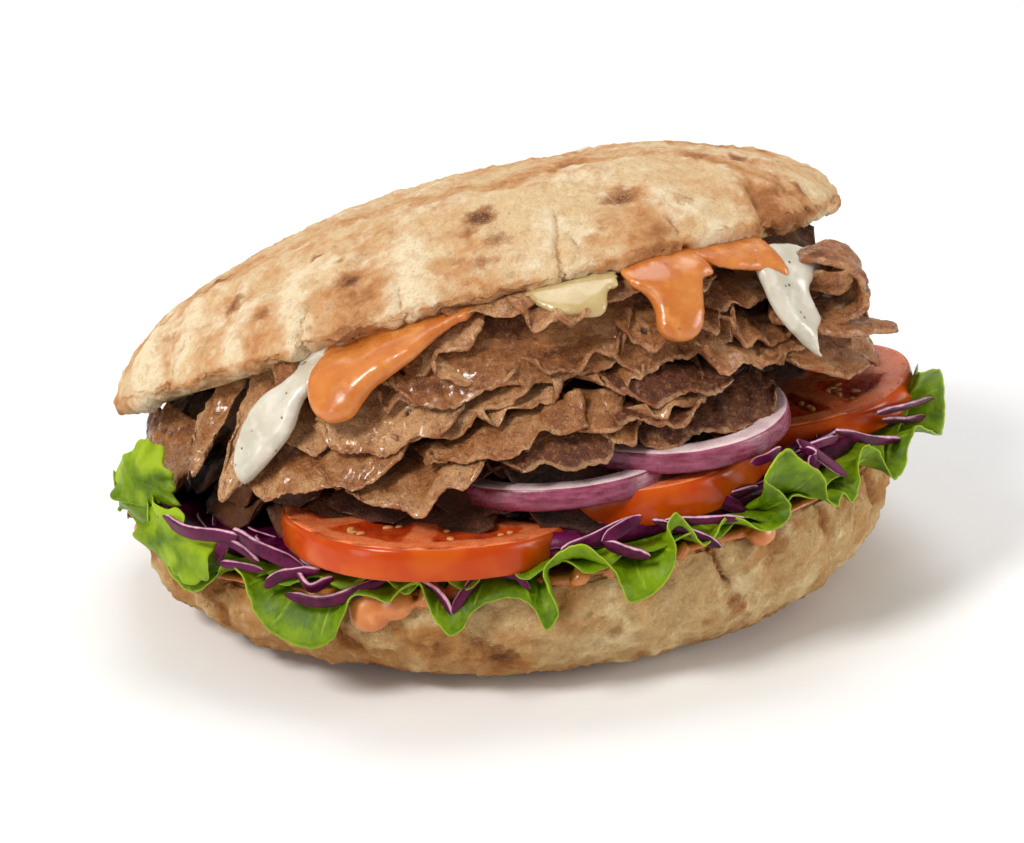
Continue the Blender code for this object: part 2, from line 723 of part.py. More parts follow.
# ---------------------------------------------------------------- sauces on top
# each run: azimuth, height, half width, thickness, distance out
SAUCES = (
    ("sauce_white_left", SAUCE_WHITE,
     ((235.0, 69.0, 4.6, 3.0, 3.0), (233.5, 66.5, 5.0, 4.2, 6.0), (231.0, 62.0, 4.8, 4.6, 8.5),
      (228.0, 57.0, 4.4, 4.4, 9.5), (225.5, 51.5, 4.6, 4.8, 10.0), (224.5, 47.5, 3.0, 3.6, 10.0))),
    ("sauce_orange_left", SAUCE_ORANGE,
     ((257.0, 77.0, 3.4, 3.0, 5.0), (252.5, 75.5, 4.8, 4.4, 8.0), (247.5, 73.0, 6.5, 5.2, 9.5),
      (242.0, 69.0, 8.6, 6.0, 10.0), (239.0, 65.0, 8.0, 5.6, 10.0), (238.0, 61.0, 4.6, 4.2, 9.5))),
    ("sauce_cream_middle", SAUCE_CREAM,
     ((266.0, 82.0, 3.2, 3.2, 4.5), (270.0, 82.0, 4.2, 4.4, 8.0), (274.5, 81.6, 4.8, 4.8, 9.5),
      (279.0, 82.0, 4.6, 4.4, 9.0), (283.0, 83.0, 3.2, 3.4, 6.5))),
    ("sauce_orange_middle", SAUCE_ORANGE,
     ((293.5, 86.0, 7.6, 3.0, 3.0), (293.5, 84.5, 8.4, 4.4, 7.0), (293.5, 81.5, 7.0, 5.0, 9.5),
      (293.5, 78.0, 5.6, 5.0, 10.0), (293.5, 74.5, 4.8, 4.6, 10.5), (293.5, 71.5, 2.8, 3.2, 10.5))),
    ("sauce_orange_right", SAUCE_ORANGE,
     ((304.5, 88.0, 4.0, 3.0, 3.0), (307.0, 87.0, 5.0, 4.0, 6.0), (310.0, 84.6, 4.8, 4.2, 8.0),
      (313.0, 82.4, 3.0, 3.2, 8.0))),
    ("sauce_white_right", SAUCE_WHITE,
     ((318.5, 87.0, 4.4, 3.0, 4.0), (318.5, 84.0, 4.8, 4.2, 8.0), (318.0, 79.5, 4.4, 4.4, 10.0),
      (318.0, 75.0, 3.8, 4.0, 11.0), (318.5, 71.0, 3.0, 3.4, 11.5), (319.0, 68.0, 1.8, 2.4, 11.5))),
)


def sauce(name, mat, path, grow=0.0):
    steps = len(path)

    def place(ring, theta):
        k = min(max(ring - 1, 0), steps - 1)
        az, z, half, thick, off = path[k]
        s = 0.0 if ring in (0, steps + 1) else 1.0
        t0 = rad(az)
        k0, k1 = max(k - 1, 0), min(k + 1, steps - 1)
        p0 = heap_point(rad(path[k0][0]), path[k0][1])
        p1 = heap_point(rad(path[k1][0]), path[k1][1])
        ax, out, up = heap_axes(t0, z)
        run = (p1 - p0).normalized()
        side = run.cross(out).normalized()
        centre = heap_point(t0, z) + out * off
        if k < 2:                          # starts under the upper half's rim
            centre.z = min(centre.z, top_z(centre.x, centre.y) - 0.5 * thick - 0.6)
        if ring == 0:
            centre -= run * 1.5
        if ring == steps + 1:
            centre += run * 1.2
        return (centre + side * ((half + grow) * math.cos(theta) * s)
                + out * ((0.5 * thick + grow) * math.sin(theta) * s))

    return barrel(name, mat, 8, steps, place)


# ---------------------------------------------------------------- assembly
bun_bottom = lower_bread("bun_bottom", CRUMB)
bun_top = upper_bread("bun_top", CRUST)
cut_bottom = cutter(lower_bread("bun_bottom_big", None, GAP))
cut_top = cutter(upper_bread("bun_top_big", None, GAP))
bpy.context.view_layer.update()

spread = layer("sauce_spread", SAUCE_ORANGE, RING_SEG,
               lambda x, y: cut_z(x, y) + GAP, lambda x, y: cut_z(x, y) + GAP + SPREAD_T,
               spread_rim, lambda x, y, z: (x, y, z))
run_cutters = []
for i, (az, width, length, thick) in enumerate(DRIPS):
    run = drip("run_%d" % i, SAUCE_ORANGE, az, width, length, thick)
    run_cutters.append(cutter(drip("run_%d_big" % i, None, az, width + 2.0 * GAP,
                                   length + GAP, thick + 2.0 * GAP)))
    combine(run, cut_bottom)
    combine(spread, run, "UNION")
    drop(run)

solids = {}
cutters = {}
for i, spec in enumerate(TOMATOES):
    name = "tomato_slice_%d" % (i + 1)
    solids[name] = tomato(name, TOMATO, spec)
    cutters[name] = cutter(tomato(name + "_big", None, spec, GAP))
for i, spec in enumerate(ONIONS):
    name = "onion_ring_%d" % (i + 1)
    solids[name] = onion(name, ONION, spec)
    cutters[name] = cutter(onion(name + "_big", None, spec, GAP))
bpy.context.view_layer.update()

# later pieces give way to earlier ones
order = list(solids)
for i, name in enumerate(order):
    for earlier in order[:i]:
        combine(solids[name], cutters[earlier])
    combine(solids[name], cut_top)

heap = meat_heap("doner_meat", MEAT_CORE)
for name in order:
    combine(heap, cutters[name])

leaves = lettuce("lettuce", LEAF)
for run in run_cutters:
    combine(leaves, run)
shreds = red_cabbage("red_cabbage", CABBAGE)
for name in order:
    combine(shreds, cutters[name])
    combine(leaves, cutters[name])
combine(shreds, cut_top)
heap_cut = heap.copy()
heap_cut.data = heap.data.copy()
heap_cut.name = "doner_meat_big"
PARTS.objects.link(heap_cut)
mod = heap_cut.modifiers.new("grow", "DISPLACE")
mod.strength = GAP * MM * 1.4
mod.mid_level = 0.0
bake(heap_cut)
cutter(heap_cut)

done = [(n, cutters[n]) for n in order]
specs = [(slice_sheet, s) for s in SLICES]
specs.insert(0, (curl_sheet, CURLS[0]))
specs.insert(8, (curl_sheet, CURLS[1]))
specs += [(slice_sheet, s) for s in side_slices()]
for make, spec in specs:
    name = spec[0]
    piece = make(name, MEAT, spec)
    twin = cutter(make(name + "_big", None, spec, GAP))
    combine(piece, cut_top)
    combine(piece, heap_cut)
    for earlier, big in done:
        combine(piece, big)
    done.append((name, twin))
    solids[name] = piece

for name, mat, path in SAUCES:
    piece = sauce(name, mat, path)
    combine(piece, cut_top)
    combine(piece, heap_cut)
    for earlier, big in done:
        combine(piece, big)
    done.append((name, cutter(sauce(name + "_big", None, path, GAP))))
    solids[name] = piece

for name, big in done:
    if name.startswith("doner"):
        combine(shreds, big)
        combine(leaves, big)

for obj in list(CUTTERS.objects):
    drop(obj)
for obj in PARTS.objects:
    obj.data.shade_smooth()
    obj.data.set_sharp_from_angle(angle=rad(40.0))
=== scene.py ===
"""Doner kebab sandwich: the finish of every surface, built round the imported
frame.  Shapes are worked out in millimetres in the frame's own axes (X right,
Y away from the open mouth, Z up) and turn into metres when a mesh is written.
"""
import math

import bpy
import numpy as np
from mathutils import Matrix, Vector


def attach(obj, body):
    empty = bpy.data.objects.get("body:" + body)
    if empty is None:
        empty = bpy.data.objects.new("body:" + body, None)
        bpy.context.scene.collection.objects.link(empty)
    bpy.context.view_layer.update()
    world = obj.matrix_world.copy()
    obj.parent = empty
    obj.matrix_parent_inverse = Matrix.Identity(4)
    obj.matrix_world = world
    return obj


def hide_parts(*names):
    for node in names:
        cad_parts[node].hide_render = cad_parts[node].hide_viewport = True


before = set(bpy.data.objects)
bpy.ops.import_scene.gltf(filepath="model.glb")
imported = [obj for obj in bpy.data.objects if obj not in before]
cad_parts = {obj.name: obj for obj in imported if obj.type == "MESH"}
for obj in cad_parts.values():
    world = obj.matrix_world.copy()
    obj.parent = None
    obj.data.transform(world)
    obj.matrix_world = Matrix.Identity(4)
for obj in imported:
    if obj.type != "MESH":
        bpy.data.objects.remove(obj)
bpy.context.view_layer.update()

MM = 0.001
PI = math.pi
FINE = 0.78

# ------------------------------------------------------------------ sizes
LOAF_A, LOAF_B = 91.0, 83.0
RIM_Z, RIM_SLOPE, DISH = 29.0, 0.09, 6.0
BASE_FRACTION, WIDEST = 0.68, 0.80
DOME, LIP = 33.3, 2.8
TOP_POS = np.array([-5.7, 18.0, 59.6])
TOP_FRONT_UP, TOP_RIGHT_UP, TOP_YAW = 14.9, 12.3, -5.0
GAP, SPREAD_T, LETTUCE_T = 0.35, 1.5, 2.3
HEAP_LOW_RHO, HEAP_HIGH_RHO = 0.915, 0.925


# ------------------------------------------------------------------ noise
def hashed(ix, iy, iz, seed):
    n = ix * 374761393 + iy * 668265263 + iz * 1440662683 + int(seed) * 1274126177
    n = (n ^ (n >> 13)) * 1103515245
    n = (n ^ (n >> 17)) * 668265263
    return ((n ^ (n >> 15)) & 0xFFFFFF) / float(0xFFFFFF)


def noise(p, size, seed=0):
    """Smooth noise from -1 to 1, with features of about `size` mm."""
    q = np.asarray(p, float) / size
    i = np.floor(q).astype(np.int64)
    f = q - i
    f = f * f * f * (f * (f * 6.0 - 15.0) + 10.0)
    total = 0.0
    for dx in (0, 1):
        for dy in (0, 1):
            for dz in (0, 1):
                w = ((f[..., 0] if dx else 1.0 - f[..., 0])
                     * (f[..., 1] if dy else 1.0 - f[..., 1])
                     * (f[..., 2] if dz else 1.0 - f[..., 2]))
                total = total + w * hashed(i[..., 0] + dx, i[..., 1] + dy, i[..., 2] + dz, seed)
    return 2.0 * total - 1.0


def fbm(p, size, octaves=4, seed=0, gain=0.5):
    total, amp, norm = 0.0, 1.0, 0.0
    for k in range(octaves):
        total = total + amp * noise(p, size / 2.0 ** k, seed + 17 * k)
        norm += amp
        amp *= gain
    return total / norm


def cells(p, size, seed=0):
    """Distance to the nearest of some scattered points, in units of size, and
    that point's own random number."""
    q = np.asarray(p, float) / size
    i = np.floor(q).astype(np.int64)
    best = np.full(q.shape[:-1], 9.0)
    who = np.zeros(q.shape[:-1])
    for dx in (-1, 0, 1):
        for dy in (-1, 0, 1):
            for dz in (-1, 0, 1):
                c = (i[..., 0] + dx, i[..., 1] + dy, i[..., 2] + dz)
                d = 0.0
                for k in range(3):
                    d = d + (c[k] + hashed(*c, seed + 31 * k) - q[..., k]) ** 2
                d = np.sqrt(d)
                near = d < best
                who = np.where(near, hashed(*c, seed + 97), who)
                best = np.where(near, d, best)
    return best, who


def line_noise(x, size, seed=0):
    x = np.asarray(x, float)
    p = np.stack([x, np.full_like(x, 3.7 + seed), np.full_like(x, 1.3)], -1)
    return noise(p, size, seed)


def smooth(a, b, x):
    t = np.clip((np.asarray(x, float) - a) / (b - a), 0.0, 1.0)
    return t * t * (3.0 - 2.0 * t)


def wrap_deg(d):
    return (np.asarray(d, float) + 180.0) % 360.0 - 180.0


def unit(v):
    return v / np.maximum(np.linalg.norm(v, axis=-1, keepdims=True), 1e-9)


def spline(points, count, closed=False):
    """Points on a smooth curve (Catmull-Rom) through the given ones, evenly
    spread over the given ones' own steps."""
    p = np.asarray(points, float)
    n = len(p)
    if closed:
        get = lambda i: p[i % n]
        t = np.linspace(0.0, n, count, endpoint=False)
    else:
        get = lambda i: p[np.clip(i, 0, n - 1)]
        t = np.linspace(0.0, n - 1.0, count)
    i = np.floor(t).astype(int)
    if not closed:
        i = np.minimum(i, n - 2)
    f = (t - i)[:, None]
    a, b, c, d = get(i - 1), get(i), get(i + 1), get(i + 2)
    return 0.5 * ((2 * b) + (c - a) * f + (2 * a - 5 * b + 4 * c - d) * f ** 2
                  + (3 * b - a - 3 * c + d) * f ** 3)


# ------------------------------------------------------------------ frame shapes
def turn(axis, deg):
    return np.array(Matrix.Rotation(math.radians(deg), 3, axis))


TOP_TURN = turn("Y", -TOP_RIGHT_UP) @ turn("X", -TOP_FRONT_UP) @ turn("Z", TOP_YAW)
TOP_NORMAL = TOP_TURN @ np.array([0.0, 0.0, 1.0])


def outline(theta, rho=1.0):
    return rho * LOAF_A * np.cos(theta), rho * LOAF_B * np.sin(theta)


def rho_of(x, y):
    return np.hypot(x / LOAF_A, y / LOAF_B)


def rim_z(x):
    return RIM_Z + RIM_SLOPE * x


def cut_z(x, y):
    return rim_z(x) - DISH * (1.0 - np.minimum(1.0, rho_of(x, y)) ** 2)


def top_z(x, y):
    n = TOP_NORMAL
    return TOP_POS[2] - (n[0] * (x - TOP_POS[0]) + n[1] * (y - TOP_POS[1])) / n[2]


def top_point(theta, rho, z):
    x, y = outline(theta, rho)
    return np.stack(np.broadcast_arrays(x, y, z), -1) @ TOP_TURN.T + TOP_POS


def top_rim_at(theta, rho, z=0.0):
    theta = np.asarray(theta, float)
    phi = theta + 0.0
    for _ in range(6):
        p = top_point(phi, rho, z)
        seen = np.arctan2(p[..., 1] / LOAF_B, p[..., 0] / LOAF_A)
        phi = phi + (theta - seen + PI) % (2.0 * PI) - PI
    return top_point(phi, rho, z)


def cabbage_t(x, y):
    return np.clip(0.24 * (top_z(x, y) - cut_z(x, y) - 10.0), 1.4, 4.3)


def lettuce_low(x, y):
    return cut_z(x, y) + SPREAD_T + 2.0 * GAP


def cabbage_low(x, y):
    return lettuce_low(x, y) + LETTUCE_T + GAP


def cabbage_high(x, y):
    return cabbage_low(x, y) + cabbage_t(x, y)


def heap_point(theta, z):
    """A point of the filling's outer face at an azimuth and a height."""
    theta, z = np.broadcast_arrays(np.asarray(theta, float), np.asarray(z, float))
    x0, y0 = outline(theta, HEAP_LOW_RHO)
    p0 = np.stack([x0, y0, cabbage_high(x0, y0)], -1)
    p1 = top_rim_at(theta, HEAP_HIGH_RHO)
    k = (z - p0[..., 2]) / np.maximum(9.0, p1[..., 2] - p0[..., 2])
    p = p0 + (p1 - p0) * np.clip(k, -0.1, 1.1)[..., None]
    p[..., 2] = z
    return p


def heap_axes(theta, z):
    along = unit(heap_point(theta + 0.03, z) - heap_point(theta - 0.03, z))
    up = unit(heap_point(theta, z + 2.0) - heap_point(theta, z - 2.0))
    return along, unit(np.cross(along, up)), up


def rim_point(az, out, rise):
    """A point outside the lower half's rim: azimuth, distance out, height
    above the rim."""
    th = np.radians(az)
    x, y = outline(th, 1.0)
    n = unit(np.stack([x, y], -1))
    return np.stack([x + n[..., 0] * out, y + n[..., 1] * out, rim_z(x) + rise], -1)


# ------------------------------------------------------------------ meshes
class Shape:
    """Collects closed bodies, with named values at the vertices."""

    def __init__(self):
        self.points, self.quads, self.tris, self.values, self.count = [], [], [], {}, 0

    def add(self, pts, quads, tris=(), **values):
        pts = np.asarray(pts, float).reshape(-1, 3)
        quads = np.asarray(quads, int).reshape(-1, 4)
        tris = np.asarray(tris, int).reshape(-1, 3)
        both = np.concatenate([tris, quads[:, [0, 1, 2]], quads[:, [0, 2, 3]]])
        a, b, c = pts[both[:, 0]], pts[both[:, 1]], pts[both[:, 2]]
        mid = pts.mean(0)
        if np.einsum("ij,ij->i", a - mid, np.cross(b - mid, c - mid)).sum() < 0.0:
            quads, tris = quads[:, ::-1], tris[:, ::-1]
        self.points.append(pts)
        self.quads.append(quads + self.count)
        self.tris.append(tris + self.count)
        for key in set(self.values) | set(values):
            old = self.values.setdefault(key, [np.zeros(self.count)])
            old.append(np.broadcast_to(np.asarray(values.get(key, 0.0), float).reshape(-1),
                                       (len(pts),)) if key in values else np.zeros(len(pts)))
        self.count += len(pts)

    def tube(self, rings, **values):
        """rings (R, C, 3): closed round each ring, ended by a pole at both ends."""
        r, c = rings.shape[:2]
        pts = np.concatenate([rings.reshape(-1, 3), rings[:1].mean(1), rings[-1:].mean(1)])
        k = np.arange(r * c).reshape(r, c)
        nxt = np.roll(k, -1, 1)
        quads = np.stack([k[:-1], nxt[:-1], nxt[1:], k[1:]], -1).reshape(-1, 4)
        first = np.stack([np.full(c, r * c), nxt[0], k[0]], -1)
        last = np.stack([np.full(c, r * c + 1), k[-1], nxt[-1]], -1)
        vals = {}
        for key, v in values.items():
            v = np.broadcast_to(v, (r, c))
            vals[key] = np.concatenate([v.reshape(-1), [v[0].mean()], [v[-1].mean()]])
        self.add(pts, quads, np.concatenate([first, last]), **vals)

    def pillow(self, mid, normal, above, below, **values):
        """mid (R, C, 3): a sheet with a thickness that goes to 0 at its border."""
        r, c = mid.shape[:2]
        top = mid + normal * above[..., None]
        low = mid - normal * below[..., None]
        k = np.arange(r * c).reshape(r, c)
        m = np.full((r, c), -1)
        m[1:-1, 1:-1] = r * c + np.arange((r - 2) * (c - 2)).reshape(r - 2, c - 2)
        m[m < 0] = k[m < 0]
        pts = np.concatenate([top.reshape(-1, 3), low[1:-1, 1:-1].reshape(-1, 3)])
        q = lambda a: np.stack([a[:-1, :-1], a[:-1, 1:], a[1:, 1:], a[1:, :-1]], -1).reshape(-1, 4)
        vals = {}
        for key, v in values.items():
            v = np.broadcast_to(v, (r, c))
            vals[key] = np.concatenate([v.reshape(-1), v[1:-1, 1:-1].reshape(-1)])
        self.add(pts, np.concatenate([q(k), q(m)[:, ::-1]]), **vals)

    def strip_loop(self, mid, normal, above, below, **values):
        """As pillow, for a sheet whose columns close into a ring; the border is
        only its first and last row."""
        r, c = mid.shape[:2]
        top = mid + normal * above[..., None]
        low = mid - normal * below[..., None]
        k = np.arange(r * c).reshape(r, c)
        m = np.full((r, c), -1)
        m[1:-1] = r * c + np.arange((r - 2) * c).reshape(r - 2, c)
        m[m < 0] = k[m < 0]
        pts = np.concatenate([top.reshape(-1, 3), low[1:-1].reshape(-1, 3)])

        def q(a):
            b = np.roll(a, -1, 1)
            return np.stack([a[:-1], b[:-1], b[1:], a[1:]], -1).reshape(-1, 4)
        vals = {}
        for key, v in values.items():
            v = np.broadcast_to(v, (r, c))
            vals[key] = np.concatenate([v.reshape(-1), v[1:-1].reshape(-1)])
        self.add(pts, np.concatenate([q(k), q(m)[:, ::-1]]), **vals)

    def build(self, name, mat, slot, *nodes):
        pts = np.concatenate(self.points) * MM
        quads, tris = np.concatenate(self.quads), np.concatenate(self.tris)
        mesh = bpy.data.meshes.new(name)
        mesh.vertices.add(len(pts))
        mesh.vertices.foreach_set("co", pts.astype(np.float32).ravel())
        loops = np.concatenate([quads.ravel(), tris.ravel()])
        sizes = np.concatenate([np.full(len(quads), 4), np.full(len(tris), 3)])
        mesh.loops.add(len(loops))
        mesh.loops.foreach_set("vertex_index", loops.astype(np.int32))
        mesh.polygons.add(len(sizes))
        starts = np.concatenate([[0], np.cumsum(sizes)[:-1]])
        mesh.polygons.foreach_set("loop_start", starts.astype(np.int32))
        mesh.polygons.foreach_set("use_smooth", np.ones(len(sizes), bool))
        mesh.update(calc_edges=True)
        mesh.validate()
        for key, parts in self.values.items():
            layer = mesh.attributes.new(key, "FLOAT", "POINT")
            layer.data.foreach_set("value", np.concatenate(parts).astype(np.float32))
        mesh.materials.append(mat)
        obj = bpy.data.objects.new(name, mesh)
        bpy.context.scene.collection.objects.link(obj)
        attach(obj, "root")
        if nodes:
            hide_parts(*nodes)
        return obj


def melt(obj, voxel, rounds):
    """Fuses the overlapping bodies of a piece into one smooth skin."""
    grid = obj.modifiers.new("fuse", "REMESH")
    grid.mode = "VOXEL"
    grid.voxel_size = voxel * MM
    grid.adaptivity = 0.0
    soft = obj.modifiers.new("settle", "SMOOTH")
    soft.factor = 0.5
    soft.iterations = rounds
    view = bpy.context.evaluated_depsgraph_get()
    mesh = bpy.data.meshes.new_from_object(obj.evaluated_get(view), depsgraph=view)
    mats = [m for m in obj.data.materials]
    obj.modifiers.clear()
    old = obj.data
    mesh.materials.clear()
    for m in mats:
        mesh.materials.append(m)
    obj.data = mesh
    bpy.data.meshes.remove(old)
    mesh.polygons.foreach_set("use_smooth", np.ones(len(mesh.polygons), bool))
    return obj


def run_tube(shape, centre, half, thick, out, seed, around=28):
    """An oval tube along a path: `half` to each side, `thick` front to back."""
    n = len(centre)
    run = unit(np.gradient(centre, axis=0))
    side = unit(np.cross(run, out))
    front = unit(np.cross(side, run))
    front *= np.sign((front * out).sum(-1, keepdims=True))
    length = np.linalg.norm(np.diff(centre, axis=0), axis=1).sum()
    s_ = np.linspace(0.0, length, n)
    end = np.sqrt(np.clip(np.minimum(s_ / np.maximum(0.6, 0.8 * half[0]),
                                     (length - s_) / np.maximum(0.6, 0.9 * half[-1])), 0.02, 1.0)
                  * (2.0 - np.clip(np.minimum(s_ / np.maximum(0.6, 0.8 * half[0]),
                                              (length - s_) / np.maximum(0.6, 0.9 * half[-1])), 0.02, 1.0)))
    wide = half * end * (1.0 + 0.07 * line_noise(s_, 6.0, seed))
    deep = 0.5 * thick * end * (1.0 + 0.07 * line_noise(s_, 5.0, seed + 1))
    a = np.linspace(0.0, 2.0 * PI, around, endpoint=False)
    shape.tube(centre[:, None] + side[:, None] * (np.cos(a)[None, :, None] * wide[:, None, None])
               + front[:, None] * (np.sin(a)[None, :, None] * deep[:, None, None]))


def normals(p, wrap=False):
    """Unit normals of a grid of points (R, C, 3)."""
    if wrap:
        du = np.roll(p, -1, 1) - np.roll(p, 1, 1)
    else:
        du = np.gradient(p, axis=1)
    dv = np.gradient(p, axis=0)
    return unit(np.cross(du, dv))


# ------------------------------------------------------------------ materials
def lin(r, g, b):
    """A colour given in 8-bit display values, as a linear one."""
    def one(v):
        v /= 255.0
        return v / 12.92 if v <= 0.04045 else ((v + 0.055) / 1.055) ** 2.4
    return (one(r), one(g), one(b), 1.0)


class Mat:
    def __init__(self, name, **sockets):
        self.m = bpy.data.materials.new(name)
        self.m.use_nodes = True
        self.t = self.m.node_tree
        self.bsdf = self.t.nodes["Principled BSDF"]
        for key, v in sockets.items():
            self.bsdf.inputs[key.replace("_", " ")].default_value = v
        self.coord = self.t.nodes.new("ShaderNodeTexCoord").outputs["Object"]

    def put(self, socket, value):
        if isinstance(value, bpy.types.NodeSocket):
            self.t.links.new(value, socket)
        elif value is not None:
            socket.default_value = value

    def attr(self, name):
        n = self.t.nodes.new("ShaderNodeAttribute")
        n.attribute_name = name
        return n.outputs["Fac"]

    def scaled(self, x, y, z):
        n = self.t.nodes.new("ShaderNodeMapping")
        n.inputs["Scale"].default_value = (x, y, z)
        self.t.links.new(self.coord, n.inputs["Vector"])
        return n.outputs["Vector"]

    def noise(self, size, detail=4.0, rough=0.55, vector=None, distort=0.0):
        """size in mm"""
        n = self.t.nodes.new("ShaderNodeTexNoise")
        n.inputs["Scale"].default_value = 1000.0 / size
        n.inputs["Detail"].default_value = detail
        n.inputs["Roughness"].default_value = rough
        n.inputs["Distortion"].default_value = distort
        self.t.links.new(vector or self.coord, n.inputs["Vector"])
        return n.outputs["Fac"]

    def voronoi(self, size, feature="F1", vector=None, output="Distance"):
        n = self.t.nodes.new("ShaderNodeTexVoronoi")
        n.feature = feature
        n.inputs["Scale"].default_value = 1000.0 / size
        self.t.links.new(vector or self.coord, n.inputs["Vector"])
        return n.outputs[output]

    def calc(self, op, a, b=None, c=None, clamp=False):
        n = self.t.nodes.new("ShaderNodeMath")
        n.operation = op
        n.use_clamp = clamp
        for s, v in zip(n.inputs, (a, b, c)):
            self.put(s, v)
        return n.outputs[0]

    def ramp(self, fac, low, high, out_low=0.0, out_high=1.0):
        n = self.t.nodes.new("ShaderNodeMapRange")
        n.interpolation_type = "SMOOTHSTEP"
        self.put(n.inputs["Value"], fac)
        for key, v in (("From Min", low), ("From Max", high), ("To Min", out_low), ("To Max", out_high)):
            n.inputs[key].default_value = v
        return n.outputs["Result"]

    def mix(self, fac, a, b, mode="MIX"):
        n = self.t.nodes.new("ShaderNodeMix")
        n.data_type = "RGBA"
        n.blend_type = mode
        self.put(n.inputs[0], fac)
        self.put(n.inputs[6], a)
        self.put(n.inputs[7], b)
        return n.outputs[2]

    def bump(self, height, distance, strength=1.0, normal=None):
        n = self.t.nodes.new("ShaderNodeBump")
        n.inputs["Distance"].default_value = distance * MM
        n.inputs["Strength"].default_value = strength
        self.put(n.inputs["Height"], height)
        if normal is not None:
            self.t.links.new(normal, n.inputs["Normal"])
        return n.outputs["Normal"]

    def out(self, colour=None, roughness=None, normal=None, **more):
        self.put(self.bsdf.inputs["Base Color"], colour)
        self.put(self.bsdf.inputs["Roughness"], roughness)
        if normal is not None:
            self.put(self.bsdf.inputs["Normal"], normal)
        for key, v in more.items():
            self.put(self.bsdf.inputs[key.replace("_", " ")], v)
        return self.m


def bread_material(name, cream, pale, tan, brown, dark, crumb):
    m = Mat(name, Roughness=0.8, Specular_IOR_Level=0.22)
    tan_a, dark_a, pale_a, crumb_a = (m.attr(k) for k in ("tan", "dark", "pale", "crumb"))
    broad = m.noise(9.0, 5.0, 0.6)
    grain = m.noise(1.7, 5.0, 0.65)
    fine = m.noise(0.55, 3.0, 0.6)
    t = m.calc("ADD", tan_a, m.calc("MULTIPLY", m.calc("SUBTRACT", grain, 0.5), 0.9))
    t = m.calc("ADD", t, m.calc("MULTIPLY", m.calc("SUBTRACT", broad, 0.5), 0.7))
    p = m.calc("ADD", pale_a, m.calc("MULTIPLY", m.calc("SUBTRACT", broad, 0.5), 0.8))
    d = m.calc("ADD", dark_a, m.calc("MULTIPLY", m.calc("SUBTRACT", grain, 0.5), 0.6))
    c = m.mix(m.ramp(p, 0.2, 0.85), cream, pale)
    c = m.mix(m.ramp(t, 0.08, 1.15), c, tan)
    c = m.mix(m.ramp(t, 0.90, 1.60), c, brown)
    c = m.mix(m.ramp(d, 0.30, 0.75, 0.0, 0.85), c, brown)
    c = m.mix(m.ramp(d, 0.62, 1.05, 0.0, 0.9), c, dark)
    tiny = m.noise(0.9, 4.0, 0.75)
    c = m.mix(m.ramp(tiny, 0.53, 0.68, 0.0, 0.42), c, tan)
    c = m.mix(m.ramp(tiny, 0.66, 0.76, 0.0, 0.35), c, brown)
    c = m.mix(m.calc("MULTIPLY", m.ramp(tiny, 0.34, 0.47, 0.45, 0.0), m.ramp(t, 0.3, 0.8, 1.0, 0.25)), c, pale)
    c = m.mix(m.ramp(m.noise(3.2, 4.0, 0.7), 0.52, 0.68, 0.0, 0.35), c, tan)
    pores = m.ramp(m.voronoi(1.6), 0.15, 0.42, 1.0, 0.0)
    inner = m.mix(m.calc("MULTIPLY", pores, 0.65), crumb, tan)
    c = m.mix(m.ramp(crumb_a, 0.2, 0.8), c, inner)
    h = m.calc("ADD", m.calc("MULTIPLY", grain, 0.8), m.calc("MULTIPLY", fine, 0.35))
    h = m.calc("SUBTRACT", h, m.calc("MULTIPLY", m.calc("MULTIPLY", pores, crumb_a), 1.0))
    n = m.bump(h, 0.9, 1.0)
    n = m.bump(m.calc("ADD", tiny, m.calc("MULTIPLY", m.noise(4.5, 3.0, 0.6), 0.8)), 0.6, 1.0, n)
    return m.out(c, m.ramp(grain, 0.2, 0.8, 0.72, 0.92), n)


CRUST_TOP = bread_material("baked_crust", lin(226, 195, 149), lin(240, 220, 184), lin(206, 149, 97),
                           lin(164, 104, 58), lin(92, 47, 24), lin(236, 200, 140))
# the lower half's crust, darker and browner than the top: partly its own colour, partly painted shade where it sits
# under the filling
CRUST_LOW_BROWN_AND_SHADE = bread_material("baked_crust_lower_brown_and_shade", lin(200, 165, 113), lin(224, 200, 152), lin(174, 120, 64),
                           lin(136, 80, 34), lin(84, 42, 20), lin(236, 200, 140))


